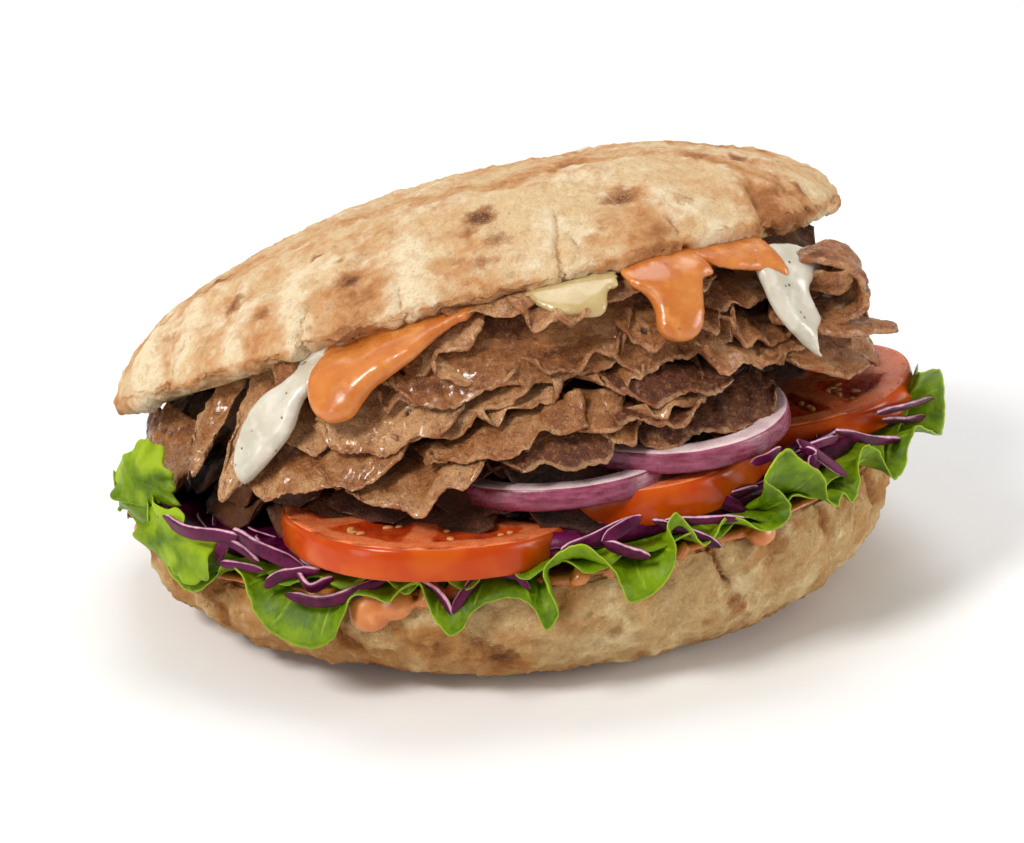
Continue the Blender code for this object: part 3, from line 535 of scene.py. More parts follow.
def meat_material(name, light, mid, dark, crisp, caramel, wet=0.30):
    m = Mat(name, Roughness=0.5, Specular_IOR_Level=0.50, Coat_Roughness=0.16)
    edge_a, tone_a, pit_a = m.attr("edge"), m.attr("tone"), m.attr("pit")
    broad = m.noise(7.0, 5.0, 0.6)
    grain = m.noise(1.5, 5.0, 0.7)
    fine = m.noise(0.45, 3.0, 0.65)
    long = m.noise(2.2, 4.0, 0.6, m.scaled(0.45, 1.0, 1.6))
    t = m.calc("ADD", m.calc("MULTIPLY", broad, 0.75), m.calc("MULTIPLY", long, 0.55))
    t = m.calc("ADD", t, m.calc("MULTIPLY", tone_a, 0.5))
    c = m.mix(m.ramp(t, 0.30, 0.72), dark, mid)
    c = m.mix(m.ramp(t, 0.66, 1.05), c, light)
    g = m.calc("ADD", m.calc("MULTIPLY", grain, 0.7), m.calc("MULTIPLY", fine, 0.3))
    c = m.mix(m.ramp(g, 0.52, 0.64, 0.0, 0.60), c, light)
    c = m.mix(m.ramp(g, 0.36, 0.46, 0.60, 0.0), c, crisp)
    patchy = m.noise(3.6, 3.0, 0.6)
    e = m.calc("ADD", edge_a, m.calc("MULTIPLY", m.calc("SUBTRACT", patchy, 0.5), 2.2))
    # lighter along the edges: partly crisp cooked rims, partly painted light where the free rims catch the light
    c = m.mix(m.ramp(e, 0.55, 1.1, 0.0, 0.55), c, light)
    e2 = m.calc("SUBTRACT", edge_a, m.calc("MULTIPLY", m.calc("SUBTRACT", patchy, 0.5), 2.6))
    c = m.mix(m.ramp(e2, 0.75, 1.25, 0.0, 0.6), c, caramel)
    # darker in the pits: painted shade in the hollows
    c = m.mix(m.ramp(pit_a, 0.25, 0.8, 0.0, 0.85), c, crisp)
    crinkle = m.noise(1.05, 4.0, 0.7, None, 0.8)
    h = m.calc("ADD", m.calc("MULTIPLY", grain, 0.8), m.calc("MULTIPLY", crinkle, 0.9))
    n = m.bump(h, 1.5, 1.0)
    n = m.bump(fine, 0.4, 1.0, n)
    gloss = m.noise(2.8, 4.0, 0.7)
    rough = m.ramp(gloss, 0.42, 0.58, wet, 0.66)
    return m.out(c, rough, n, Coat_Weight=m.ramp(gloss, 0.40, 0.56, 0.75, 0.0))


MEAT = meat_material("shaved_meat", lin(228, 172, 118), lin(182, 114, 59), lin(110, 53, 21), lin(48, 18, 6), lin(164, 80, 24), 0.16)
# a darker copy of the meat: painted shade for the deeper slices and the stack's inside
MEAT_PAINTED_SHADE = meat_material("shaved_meat_painted_shade", lin(122, 68, 34), lin(76, 37, 16), lin(44, 18, 7), lin(26, 11, 5), lin(84, 36, 12), 0.3)


def tomato_material():
    m = Mat("tomato", Roughness=0.24, Specular_IOR_Level=0.24, Subsurface_Weight=0.10, Subsurface_Scale=0.002)
    m.bsdf.inputs["Subsurface Radius"].default_value = (1.0, 0.35, 0.2)
    skin, gel, seed, pale = (m.attr(k) for k in ("skin", "gel", "seed", "pale"))
    n1 = m.noise(4.0, 4.0, 0.6)
    n2 = m.noise(0.9, 4.0, 0.6)
    c = m.mix(m.ramp(n1, 0.3, 0.7), lin(210, 96, 48), lin(228, 126, 76))
    c = m.mix(m.ramp(m.calc("ADD", pale, m.calc("MULTIPLY", m.calc("SUBTRACT", n2, 0.5), 0.7)), 0.3, 0.9), c, lin(236, 150, 94))
    c = m.mix(gel, c, m.mix(m.ramp(n1, 0.35, 0.65), lin(170, 44, 10), lin(196, 74, 22)))
    c = m.mix(m.ramp(skin, 0.35, 0.65), c, m.mix(m.ramp(m.noise(9.0, 2.0, 0.5), 0.35, 0.65), lin(180, 60, 3), lin(192, 80, 10)))
    c = m.mix(seed, c, lin(232, 176, 108))
    h = m.calc("MULTIPLY", m.calc("MULTIPLY", n2, m.calc("SUBTRACT", 1.0, skin)), 1.0)
    n = m.bump(h, 0.35, 0.6)
    rough = m.mix(skin, m.ramp(n2, 0.3, 0.7, 0.22, 0.42), m.ramp(m.noise(1.2, 2.0, 0.5), 0.3, 0.7, 0.16, 0.24))
    return m.out(c, rough, n)


def onion_material():
    m = Mat("red_onion", Roughness=0.28, Specular_IOR_Level=0.5, Subsurface_Weight=0.15, Subsurface_Scale=0.002)
    outer, top, band = (m.attr(k) for k in ("outer", "top", "band"))
    streak = m.noise(1.6, 4.0, 0.6, m.scaled(0.35, 0.35, 1.4))
    fine = m.noise(0.7, 3.0, 0.6)
    side = m.mix(m.ramp(streak, 0.32, 0.68), lin(114, 32, 56), lin(157, 78, 105))
    # darker towards the bottom of the outer side: painted shade under the ring
    side = m.mix(m.ramp(band, 0.0, 1.0, 0.0, 0.55), side, lin(104, 22, 46))
    face = m.mix(m.ramp(streak, 0.35, 0.65), lin(206, 174, 178), lin(226, 204, 202))
    face = m.mix(m.ramp(fine, 0.5, 0.8, 0.0, 0.4), face, lin(206, 168, 190))
    inner = m.mix(m.ramp(streak, 0.3, 0.7), lin(180, 122, 156), lin(216, 178, 198))
    c = m.mix(m.ramp(outer, 0.35, 0.65), inner, side)
    c = m.mix(m.ramp(top, 0.45, 0.75), c, face)
    n = m.bump(m.calc("ADD", streak, m.calc("MULTIPLY", fine, 0.3)), 0.2, 0.6)
    return m.out(c, m.ramp(fine, 0.3, 0.7, 0.22, 0.38), n)


def cabbage_material():
    m = Mat("red_cabbage", Roughness=0.38, Specular_IOR_Level=0.20)
    rim, tone = m.attr("rim"), m.attr("tone")
    n1 = m.noise(2.5, 4.0, 0.6)
    dark = m.mix(m.ramp(n1, 0.3, 0.7), lin(48, 0, 28), lin(90, 6, 56))
    dark = m.mix(m.calc("MULTIPLY", tone, 0.6), dark, lin(122, 22, 82))
    pale = m.mix(m.ramp(n1, 0.35, 0.7), lin(198, 144, 166), lin(228, 186, 198))
    e = m.calc("ADD", rim, m.calc("MULTIPLY", m.calc("SUBTRACT", n1, 0.5), 0.5))
    c = m.mix(m.ramp(e, 0.55, 0.85), dark, pale)
    n = m.bump(m.noise(1.0, 3.0, 0.6), 0.2, 0.5)
    return m.out(c, m.ramp(n1, 0.3, 0.7, 0.28, 0.45), n)


def lettuce_material():
    m = Mat("lettuce", Roughness=0.46, Specular_IOR_Level=0.18, Subsurface_Weight=0.12, Subsurface_Scale=0.0015)
    m.bsdf.inputs["Subsurface Radius"].default_value = (0.5, 1.0, 0.15)
    vein, rim, tone = m.attr("vein"), m.attr("rim"), m.attr("tone")
    n1 = m.noise(9.0, 4.0, 0.6)
    n2 = m.noise(1.6, 4.0, 0.6)
    t = m.calc("ADD", n1, m.calc("MULTIPLY", m.calc("SUBTRACT", n2, 0.5), 0.35))
    c = m.mix(m.ramp(t, 0.3, 0.7), lin(70, 98, 0), lin(116, 144, 4))
    c = m.mix(m.ramp(m.calc("ADD", tone, m.calc("MULTIPLY", m.calc("SUBTRACT", n1, 0.5), 0.8)), 0.35, 0.95), c, lin(146, 170, 24))
    c = m.mix(m.ramp(vein, 0.35, 0.95, 0.0, 0.45), c, lin(160, 184, 48))
    c = m.mix(m.ramp(rim, 0.4, 0.9, 0.0, 0.75), c, lin(176, 196, 54))
    n = m.bump(m.calc("ADD", n2, m.calc("MULTIPLY", n1, 0.5)), 0.35, 0.5)
    return m.out(c, m.ramp(n2, 0.3, 0.7, 0.38, 0.55), n)


def sauce_material(name, colour, deep, light, specks, roughness=0.16):
    m = Mat(name, Roughness=roughness, Specular_IOR_Level=0.5, Coat_Weight=0.25, Coat_Roughness=0.08,
            Subsurface_Weight=0.2, Subsurface_Scale=0.003)
    n1 = m.noise(6.0, 3.0, 0.5)
    c = m.mix(m.ramp(n1, 0.3, 0.7), deep, colour)
    c = m.mix(m.ramp(m.noise(3.0, 3.0, 0.5), 0.5, 0.8, 0.0, 0.6), c, light)
    spot = m.voronoi(2.6)
    who = m.voronoi(2.6, output="Color")
    pick = m.ramp(who, 0.46, 0.48)
    dot = m.calc("MULTIPLY", m.ramp(spot, 0.10, 0.17, 1.0, 0.0), pick)
    c = m.mix(m.calc("MULTIPLY", dot, specks[0]), c, specks[1])
    n = m.bump(m.noise(3.5, 2.0, 0.5), 0.3, 0.35)
    return m.out(c, m.ramp(m.noise(2.0, 3.0, 0.6), 0.3, 0.75, roughness, roughness + 0.14), n)


TOMATO, ONION, CABBAGE, LETTUCE = tomato_material(), onion_material(), cabbage_material(), lettuce_material()
ORANGE = sauce_material("orange_sauce", lin(200, 122, 52), lin(184, 101, 34), lin(216, 146, 78), (0.5, lin(130, 54, 22)), 0.24)
WHITE = sauce_material("white_sauce", lin(209, 202, 186), lin(190, 183, 164), lin(226, 223, 212), (0.85, lin(56, 62, 30)))
CREAM = sauce_material("cream_sauce", lin(192, 170, 119), lin(180, 154, 100), lin(211, 192, 146), (0.0, lin(150, 140, 80)), 0.22)


def raised_edge(deg):
    """How far the filling lifts the upper bread's edge on the open side."""
    return np.interp(np.asarray(deg, float) % 360.0,
                     (195.0, 205.0, 215.0, 227.0, 240.0, 255.0, 268.0, 278.0, 286.0, 300.0, 312.0, 326.0),
                     (0.0, 0.8, 1.7, 1.9, 2.8, 4.3, 4.6, 3.5, 2.8, 2.7, 1.3, 0.0))


# ------------------------------------------------------------------ upper bread
# ridges that the baker's fingers left across the border, painted pale as light on their lit side:
# azimuth at the rim, drift towards the middle, half width, all in degrees
RIDGES = ((212.0, -9.0, 3.2, 1.0), (224.5, -9.0, 2.6, 0.9), (235.5, -5.0, 2.2, 0.8), (247.0, -6.0, 2.6, 1.0),
          (263.5, 1.0, 4.2, 1.0), (286.5, 2.0, 4.4, 1.0), (308.5, -1.0, 4.0, 0.8), (326.0, -3.0, 2.6, 0.6),
          (341.0, -2.0, 3.0, 0.7), (2.0, 3.0, 3.4, 0.9), (20.0, 2.0, 3.0, 0.8), (41.0, -3.0, 3.8, 1.0),
          (63.0, 2.0, 3.4, 0.8), (84.0, 3.0, 3.8, 1.0), (104.0, -3.0, 3.0, 0.8), (126.0, 2.0, 3.8, 1.0),
          (147.0, -2.0, 3.4, 0.9), (167.0, 3.0, 3.2, 0.9), (186.0, -3.0, 3.0, 0.9), (199.0, -4.0, 2.6, 0.8))
# scorched spots: azimuth, distance from the middle, size in mm, strength
SPOTS = ((244, 0.720, 2.4, 0.8), (251, 0.775, 2.2, 0.7), (254, 0.860, 4.2, 0.95), (278, 0.753, 4.6, 1.1),
         (275, 0.810, 3.0, 0.8), (279, 0.863, 4.6, 0.75), (302, 0.843, 4.2, 1.0), (299.5, 0.835, 3.0, 0.8),
         (230, 0.845, 3.6, 0.9), (239, 0.900, 3.6, 0.8), (335, 0.970, 3.6, 0.8), (309, 0.927, 3.8, 0.65),
         (243, 0.535, 3.6, 0.6), (228, 0.938, 3.4, 0.6), (256, 0.927, 5.0, 0.6), (275, 0.930, 4.4, 0.65),
         (302, 0.975, 3.4, 0.7), (272, 0.907, 3.4, 0.6), (216, 0.900, 3.0, 0.6), (323, 0.93, 3.0, 0.5),
         (294, 0.93, 3.0, 0.5), (283, 0.60, 3.6, 0.6), (222, 0.74, 2.6, 0.5))
CREASE = ((-1.0, -0.33), (-0.82, -0.366), (-0.658, -0.396), (-0.509, -0.427), (-0.284, -0.454), (0.0, -0.532),
          (0.162, -0.531), (0.320, -0.475), (0.487, -0.438), (0.653, -0.474), (0.735, -0.54), (0.768, -0.645))


def spot_mask(p, spots, place, seed):
    dark = np.zeros(p.shape[:-1])
    wob = 1.0 + 0.55 * fbm(p, 4.0, 3, seed)
    for az, rho, size, strength in spots:
        c = place(math.radians(az), rho)
        d = np.linalg.norm(p - c, axis=-1) * wob
        dark = np.maximum(dark, strength * np.exp(-(d / size) ** 2))
    return dark


def upper_bread():
    cols, dome_rows = int(560 * FINE), int(128 * FINE)
    theta = round_steps(cols)
    phi = np.linspace(0.012, 0.5 * PI, dome_rows)
    rho_d = np.sin(phi) ** 0.97
    z_d = DOME * np.sqrt(np.maximum(0.0, 1.0 - rho_d ** 2.03))
    # the crust rolls under at the cut, and the cut face runs in to the middle
    lip = 16
    a = np.linspace(0.0, 1.0, lip + 1)[1:]
    lip_low = 1.3
    rho_l = 1.0 - 0.035 * a ** 2.2
    z_l = LIP + lip_low * 0.0 - (LIP - 0.4) * np.sin(a * PI / 2.0)
    under = np.linspace(0.955, 0.02, 22)
    rho = np.concatenate([rho_d, rho_l, under])
    zz = np.concatenate([np.maximum(z_d, LIP * smooth(0.93, 1.0, rho_d)), z_l, np.full(len(under), 0.25)])
    TH, RH = np.meshgrid(theta, rho)
    Z = np.broadcast_to(zz[:, None], TH.shape).copy()
    x, y = outline(TH, RH)
    p = np.stack([x, y, Z], -1)
    n = normals(p, True)
    n *= np.sign((n * p).sum(-1, keepdims=True) + 1e-9)
    crust = np.zeros(TH.shape)
    crust[: dome_rows + lip] = 1.0
    deg = np.degrees(TH)
    # local plan coordinates, in fractions of the loaf
    px, py = x / LOAF_A, y / LOAF_B
    cr = np.array(CREASE)
    line = np.interp(px, cr[:, 0], cr[:, 1])
    right = np.exp(-((px - 0.755) / 0.03) ** 2) * smooth(-0.44, -0.62, py)
    far = line - py                                # > 0 in front of the crease
    d_mm = far * LOAF_B + 1.2 * fbm(p, 14.0, 3, 5)
    hide = smooth(0.98, 0.80, px)
    crease = np.exp(-(d_mm / 1.6) ** 2) * hide * smooth(-1.05, -0.75, px)
    crease = np.maximum(crease * smooth(0.70, 0.62, px), right * 0.9)
    band = np.exp(-((d_mm - 8.0) / 7.0) ** 2) * smooth(0.0, 2.5, d_mm) * hide
    # a like fold on the far side
    line_b = 0.50 + 0.06 * np.sin(3.0 * px + 0.6)
    d_b = (py - line_b) * LOAF_B + 1.2 * fbm(p, 14.0, 3, 6)
    crease_b = np.exp(-(d_b / 1.6) ** 2) * smooth(0.9, 0.7, np.abs(px))
    band_b = np.exp(-((d_b - 8.0) / 7.0) ** 2) * smooth(0.0, 2.5, d_b) * smooth(0.95, 0.75, np.abs(px))
    ridge = np.zeros(TH.shape)
    groove = np.zeros(TH.shape)
    for az, drift, half, strong in RIDGES:
        centre = az + drift * np.clip((0.98 - RH) / 0.20, -0.2, 1.2)
        wob = 1.3 * fbm(p, 9.0, 2, int(az))
        dd = wrap_deg(deg - centre) + wob
        reach = smooth(0.70, 0.82, RH + 0.03 * fbm(p, 10.0, 2, 3))
        ridge = np.maximum(ridge, strong * np.exp(-(dd / half) ** 2) * reach)
        groove = np.maximum(groove, strong * np.exp(-((dd + 1.7 * half) / (0.42 * half)) ** 2)
                            * reach * smooth(1.0, 0.9, RH + 0.04))
    lumps = fbm(p, 24.0, 3, 11)
    mid = fbm(p, 7.0, 3, 12)
    small = fbm(p, 2.4, 3, 13)
    dimple, _ = cells(p, 6.5, 14)
    lift = (1.0 * lumps + 0.85 * mid + 0.62 * small + 0.24 * noise(p, 1.4, 15) - 0.55 * smooth(0.35, 0.05, dimple)) * crust
    lift += (-2.3 * crease + 1.7 * band - 1.6 * crease_b + 1.2 * band_b) * crust
    lift += (0.75 * ridge - 0.75 * groove) * crust
    # a split in the crust, with its fainter branch, and short ones elsewhere
    crack = np.zeros(TH.shape)
    for az, drift, r0, r1, width in ((285.4, 5.0, 0.80, 1.01, 0.50), (288.5, 2.0, 0.90, 0.97, 0.34), (304.0, 2.0, 0.93, 1.0, 0.40),
                                     (332.0, -6.0, 0.90, 1.0, 0.5), (337.0, 3.0, 0.95, 1.01, 0.5), (247.5, 2.0, 0.88, 1.01, 0.5),
                                     (221.0, 3.0, 0.90, 1.01, 0.5), (263.0, -2.0, 0.90, 1.0, 0.45), (212.0, 3.0, 0.88, 1.0, 0.45),
                                     (52.0, -4.0, 0.82, 1.0, 0.8), (96.0, 5.0, 0.85, 1.0, 0.8),
                                     (158.0, -4.0, 0.86, 1.0, 0.8), (8.0, 4.0, 0.90, 1.0, 0.8)):
        centre = az + drift * (0.98 - RH) / 0.18 + 0.55 * fbm(p, 3.5, 3, int(az) + 3)
        dd = np.abs(wrap_deg(deg - centre))
        crack = np.maximum(crack, np.exp(-(dd / width) ** 2) * smooth(r0, r0 + 0.04, RH) * smooth(r1 + 0.02, r1 - 0.02, RH))
    lift -= 1.0 * crack * crust
    spots = [(a0, r0, s, k) for a0, r0, s, k in SPOTS]
    rng = np.random.default_rng(7)
    for _ in range(34):                            # the sides that face away
        az = rng.uniform(-32.0, 200.0)
        spots.append((az, 1.0 - 0.5 * rng.random() ** 1.6, rng.uniform(2.2, 4.6), rng.uniform(0.5, 1.0)))

    def place(th, r):
        xx, yy = outline(th, r)
        return np.array([xx, yy, DOME * math.sqrt(max(0.0, 1.0 - r ** 2.03))])
    dark = spot_mask(p, spots, place, 21) * crust
    lift -= 0.35 * smooth(0.3, 0.8, dark)
    # uneven, slightly torn lower edge
    raised = raised_edge(np.degrees(TH))
    low_part = smooth(0.50, 0.97, RH) * np.clip(1.0 - Z / 16.0, 0.0, 1.0)
    near_lip = smooth(0.955, 1.0, RH) * smooth(6.0, 1.5, Z)
    tear = (0.55 * line_noise(np.degrees(TH) * 1.55, 5.0, 31) + 0.40 * line_noise(np.degrees(TH) * 1.55, 1.8, 32)
            + 0.22 * line_noise(np.degrees(TH) * 1.55, 0.8, 33))
    p = p + n * lift[..., None]
    p[..., 2] += near_lip * (0.45 + 1.5 * tear) + raised * low_part
    pores = fbm(p, 2.0, 3, 41) * 0.5
    p[..., 2] += (1.0 - crust) * smooth(0.99, 0.9, RH) * (0.5 * pores - 0.1)
    front = smooth(-0.1, 0.02, far)
    tan = 0.42 + 0.75 * fbm(p, 15.0, 4, 51) + 0.50 * fbm(p, 4.5, 3, 55) + 0.35 * fbm(p, 1.9, 2, 57) + 0.12 * smooth(0.83, 0.93, RH) * front
    # less tan on the ridges: painted light on their lit side
    tan -= 0.50 * ridge
    tan += 0.20 * (1.0 - front) * smooth(0.35, 0.6, RH) + 0.55 * np.exp(-((d_mm + 5.0) / 6.0) ** 2) * (1.0 - front) * hide
    # browner along the crease: painted shade in it
    tan += 0.35 * np.exp(-((d_mm - 0.5) / 2.5) ** 2) * hide
    streak = fbm(p * np.array([0.35, 1.5, 1.5]), 9.0, 3, 52)
    tan += 0.45 * streak * (1.0 - front)
    patch = np.zeros(TH.shape)
    for az, rho0, size in ((251, 0.90, 12.0), (257, 0.95, 9.0), (276, 0.88, 12.0), (274, 0.95, 9.0), (298, 0.93, 11.0),
                           (304, 0.85, 9.0), (226, 0.91, 8.0), (239, 0.93, 7.0), (318, 0.95, 8.0), (212, 0.94, 7.0)):
        c = place(math.radians(az), rho0)
        d = np.linalg.norm(p - c, axis=-1) * (1.0 + 0.35 * fbm(p, 8.0, 3, 53))
        patch = np.maximum(patch, np.exp(-(d / size) ** 2))
    tan += 0.24 * patch * (1.0 - 0.7 * ridge)
    tan += 0.55 * smooth(0.988, 1.0, RH) * crust * smooth(7.0, 3.0, Z)
    # dark along the cracks and the crease: painted shade in them
    dark = np.maximum(dark, 0.62 * crack * (RH > 0.80))
    dark = np.maximum(dark, 0.35 * crease * (1.0 + 0.5 * mid))
    # paler on the ridges and the raised band: painted light
    pale = 0.22 + 0.9 * fbm(p, 12.0, 3, 54) + 0.7 * fbm(p, 3.2, 3, 56) + 0.50 * ridge + 0.20 * band
    s = Shape()
    world = p @ TOP_TURN.T + TOP_POS
    s.tube(world, tan=tan, dark=dark, pale=pale, crumb=1.0 - crust)
    return s.build("bread_upper", CRUST_TOP, "flatbread_crust", "bun_top")


# ------------------------------------------------------------------ lower bread
LOW_SPOTS = ((261, 0.42, 5.0, 1.0), (258, 0.60, 4.0, 0.75), (266, 0.55, 3.6, 0.6), (288, 0.65, 3.0, 0.5),
             (250, 0.51, 3.0, 0.6), (302, 0.73, 3.6, 0.6), (296, 0.50, 4.0, 0.7), (300, 0.45, 3.6, 0.5),
             (321, 0.62, 3.0, 0.6), (312, 0.86, 3.4, 0.6), (318, 0.80, 2.6, 0.6), (236, 0.60, 4.0, 0.6),
             (232, 0.70, 3.0, 0.5), (243, 0.45, 3.4, 0.5), (277, 0.50, 3.0, 0.5), (284, 0.80, 2.6, 0.4))


def lower_bread():
    cols, rows = int(400 * FINE), int(70 * FINE)

    def side_rho(t):
        k = 1.0 - t / WIDEST
        low = BASE_FRACTION + (1.0 - BASE_FRACTION) * np.sqrt(np.maximum(0.0, 1.0 - k * k))
        return np.where(t > WIDEST, 1.0 - 0.012 * ((t - WIDEST) / (1.0 - WIDEST)) ** 2, low)
    theta = round_steps(cols)
    t_side = 1.0 - np.cos(np.linspace(0.0, 0.5 * PI, rows)) ** 1.15
    t_side = np.clip(t_side, 0.0, 0.97)
    rho = np.concatenate([np.linspace(0.03, BASE_FRACTION - 0.01, 14), side_rho(t_side),
                          [0.983, 0.975, 0.962, 0.945], np.linspace(0.92, 0.03, 22)])
    t = np.concatenate([np.zeros(14), t_side, [0.992, 1.0, 1.0, 0.998], np.ones(22)])
    TH, RH = np.meshgrid(theta, rho)
    TT = np.broadcast_to(t[:, None], TH.shape)
    wob = 1.0 + (0.006 * np.sin(3.0 * TH + 0.7) + 0.004 * np.sin(7.0 * TH)) * smooth(0.0, 0.3, TT)
    x, y = outline(TH, RH * wob)
    z = TT * rim_z(x)
    top = np.zeros(TH.shape, bool)
    top[-24:] = True
    z = np.where(top, cut_z(x, y) + 0.0, z)
    p = np.stack([x, y, z], -1)
    n = normals(p, True)
    c0 = np.array([0.0, 0.0, 15.0])
    n *= np.sign((n * (p - c0)).sum(-1, keepdims=True) + 1e-9)
    deg = np.degrees(TH)
    side = np.zeros(TH.shape)
    side[14:-25] = 1.0
    up = smooth(0.0, 0.22, TT) * side
    dimple, _ = cells(p, 7.0, 64)
    lift = (1.0 * fbm(p, 22.0, 3, 61) + 1.30 * fbm(p, 7.0, 3, 62) + 1.10 * fbm(p, 2.6, 3, 63) + 0.42 * noise(p, 1.5, 65)
            - 0.6 * smooth(0.35, 0.05, dimple)) * up
    wrinkle = np.zeros(TH.shape)
    crack = np.zeros(TH.shape)
    # soft creases that run down from the rim: azimuth, drift, from, width, depth
    for az, drift, low, half, deep in ((326.0, 3.0, 0.55, 1.2, 1.0), (331.0, -2.0, 0.5, 1.0, 0.9), (315.5, 2.0, 0.70, 0.9, 0.9), (291.0, 5.0, 0.50, 1.3, 1.0), (282.0, 2.0, 0.72, 1.0, 0.7), (303.0, -2.0, 0.66, 1.2, 0.8),
                                       (311.0, 4.0, 0.60, 1.3, 0.8), (320.0, 3.0, 0.50, 1.2, 0.6), (235.0, 4.0, 0.30, 1.6, 1.0),
                                       (229.0, 4.0, 0.40, 1.2, 0.7), (270.0, -2.0, 0.62, 1.2, 0.5), (246.0, 3.0, 0.5, 1.3, 0.5),
                                       (210.0, 2.0, 0.4, 1.5, 0.7), (190.0, -3.0, 0.4, 1.5, 0.8), (340.0, 3.0, 0.45, 1.4, 0.8),
                                       (5.0, -3.0, 0.5, 1.4, 0.8), (30.0, 3.0, 0.45, 1.3, 0.8), (58.0, 2.0, 0.5, 1.4, 0.7),
                                       (85.0, -4.0, 0.4, 1.4, 0.9), (112.0, 3.0, 0.5, 1.3, 0.7), (138.0, -2.0, 0.45, 1.4, 0.9),
                                       (165.0, 3.0, 0.5, 1.4, 0.7)):
        centre = az + drift * (1.0 - TT) / 0.5 + 0.9 * fbm(p, 6.0, 3, int(az))
        dd = wrap_deg(deg - centre)
        along = smooth(low - 0.06, low + 0.15, TT)
        wrinkle = np.maximum(wrinkle, deep * np.exp(-(dd / half) ** 2) * along)
        crack = np.maximum(crack, deep * np.exp(-(dd / (0.34 * half)) ** 2) * smooth(low + 0.02, low + 0.2, TT))
    lift -= (1.2 * wrinkle + 1.2 * crack) * side
    spots = list(LOW_SPOTS)
    rng = np.random.default_rng(9)
    for _ in range(26):
        spots.append((rng.uniform(-35.0, 225.0), rng.uniform(0.25, 0.95), rng.uniform(2.4, 4.6), rng.uniform(0.4, 0.9)))

    def place(th, tt):
        xx, yy = outline(th, float(side_rho(np.array(tt))))
        return np.array([xx, yy, tt * rim_z(xx)])
    dark = spot_mask(p, spots, place, 71) * side
    lift -= 0.3 * smooth(0.3, 0.8, dark)
    p = p + n * lift[..., None]
    rim = np.exp(-((TT - 0.98) / 0.03) ** 2) * smooth(0.9, 0.97, RH)
    p[..., 2] += rim * (0.5 * line_noise(deg * 1.5, 4.0, 72) + 0.3 * line_noise(deg * 1.5, 1.5, 73))
    p[..., 2] = np.maximum(p[..., 2], 0.0)
    # browner in the creases (0.40 * wrinkle): painted shade
    tan = 0.56 + 0.75 * fbm(p, 13.0, 4, 74) + 0.70 * fbm(p, 4.5, 3, 76) + 0.25 * smooth(0.30, 0.05, TT) + 0.40 * wrinkle
    tan += 0.30 * smooth(262.0, 236.0, deg) * smooth(180.0, 215.0, deg)
    # dark in the cracks and creases that run down from the rim: painted shade
    dark = np.maximum(dark, 0.74 * crack + 0.22 * wrinkle)
    dark = np.maximum(dark, 0.45 * smooth(0.10, 0.0, TT) * side)
    pale = 0.25 + 1.0 * fbm(p, 10.0, 3, 75) + 0.9 * fbm(p, 3.4, 3, 77)
    s = Shape()
    s.tube(p, tan=tan, dark=dark, pale=pale, crumb=top.astype(float))
    return s.build("bread_lower", CRUST_LOW_BROWN_AND_SHADE, "flatbread_lower", "bun_bottom")


# ------------------------------------------------------------------ meat
SLICES = (
    ("doner_slice_01", 208.0, 41.5, 9.5, 18.0, 8.0, 5.5, 0.25, 0.8),
    ("doner_slice_02", 219.0, 40.5, 16.5, 23.0, 0.0, 7.0, 0.80, 1.0),
    ("doner_slice_04", 235.5, 44.0, 39.0, 12.0, 13.0, 6.0, 0.15, 1.0),
    ("doner_slice_05", 244.0, 53.0, 35.0, 14.0, 7.0, 5.0, 0.20, 1.2),
    ("doner_slice_06", 251.5, 69.5, 25.0, 8.0, 28.0, 4.5, 0.15, 0.8),
    ("doner_slice_07", 266.0, 65.0, 58.0, 15.0, 11.0, 5.5, 0.20, 1.6),
    ("doner_slice_08", 271.0, 79.5, 42.0, 5.5, 1.0, 5.5, 0.10, 1.0),
    ("doner_slice_09", 270.5, 76.0, 24.0, 6.0, -14.0, 9.0, 0.55, 0.8),
    ("doner_slice_11", 294.0, 67.0, 36.0, 15.0, 7.0, 4.5, 0.20, 1.4),
    ("doner_slice_12", 302.5, 62.0, 30.0, 8.0, -20.0, 7.5, 0.45, 0.8),
    ("doner_slice_14", 323.0, 58.0, 28.0, 10.0, 2.0, 6.0, 0.25, 1.0),
    ("doner_slice_15", 331.0, 66.0, 34.0, 6.0, -8.0, 13.0, 0.60, 0.6),
    ("doner_slice_18", 257.5, 57.5, 34.0, 8.0, 24.0, 5.0, 0.20, 0.8),
    ("doner_slice_19", 262.0, 51.5, 33.0, 7.0, 18.0, 6.0, 0.25, 0.8),
    ("doner_slice_20", 250.5, 43.0, 34.0, 8.0, 15.0, 6.5, 0.30, 1.0),
    ("doner_slice_22", 273.5, 49.5, 31.0, 9.0, 14.0, 6.0, 0.35, 1.0),
    ("doner_slice_24", 289.0, 60.0, 31.0, 7.0, -9.0, 6.0, 0.20, 0.8),
)
# smaller scraps between them
SCRAPS = (
    ("scrap_03", 227.0, 63.5, 18.0, 8.0, -4.0, 4.0, 0.2, 0.8),
    ("scrap_10", 287.0, 70.5, 15.0, 9.0, -20.0, 7.0, 0.3, 0.6),
    ("scrap_13", 309.0, 66.0, 24.0, 8.0, -20.0, 5.0, 0.35, 0.8),
    ("scrap_17", 299.0, 80.0, 21.0, 8.0, -8.0, 4.0, 0.2, 0.8),
    ("scrap_23", 286.0, 54.5, 23.0, 6.0, -9.0, 6.5, 0.3, 0.8),
    ("scrap_25", 298.0, 51.5, 38.0, 6.0, 6.0, 4.0, 0.15, 0.8),
)
# azimuth and height of thinner layers' edges
LAYERS = ((231.0, 52.5), (240.0, 46.5), (247.0, 61.5), (257.0, 66.0), (266.0, 60.5), (276.0, 68.0), (283.0, 63.5),
          (291.0, 57.5), (300.0, 71.5), (311.0, 74.5), (317.0, 62.5), (281.0, 53.0))
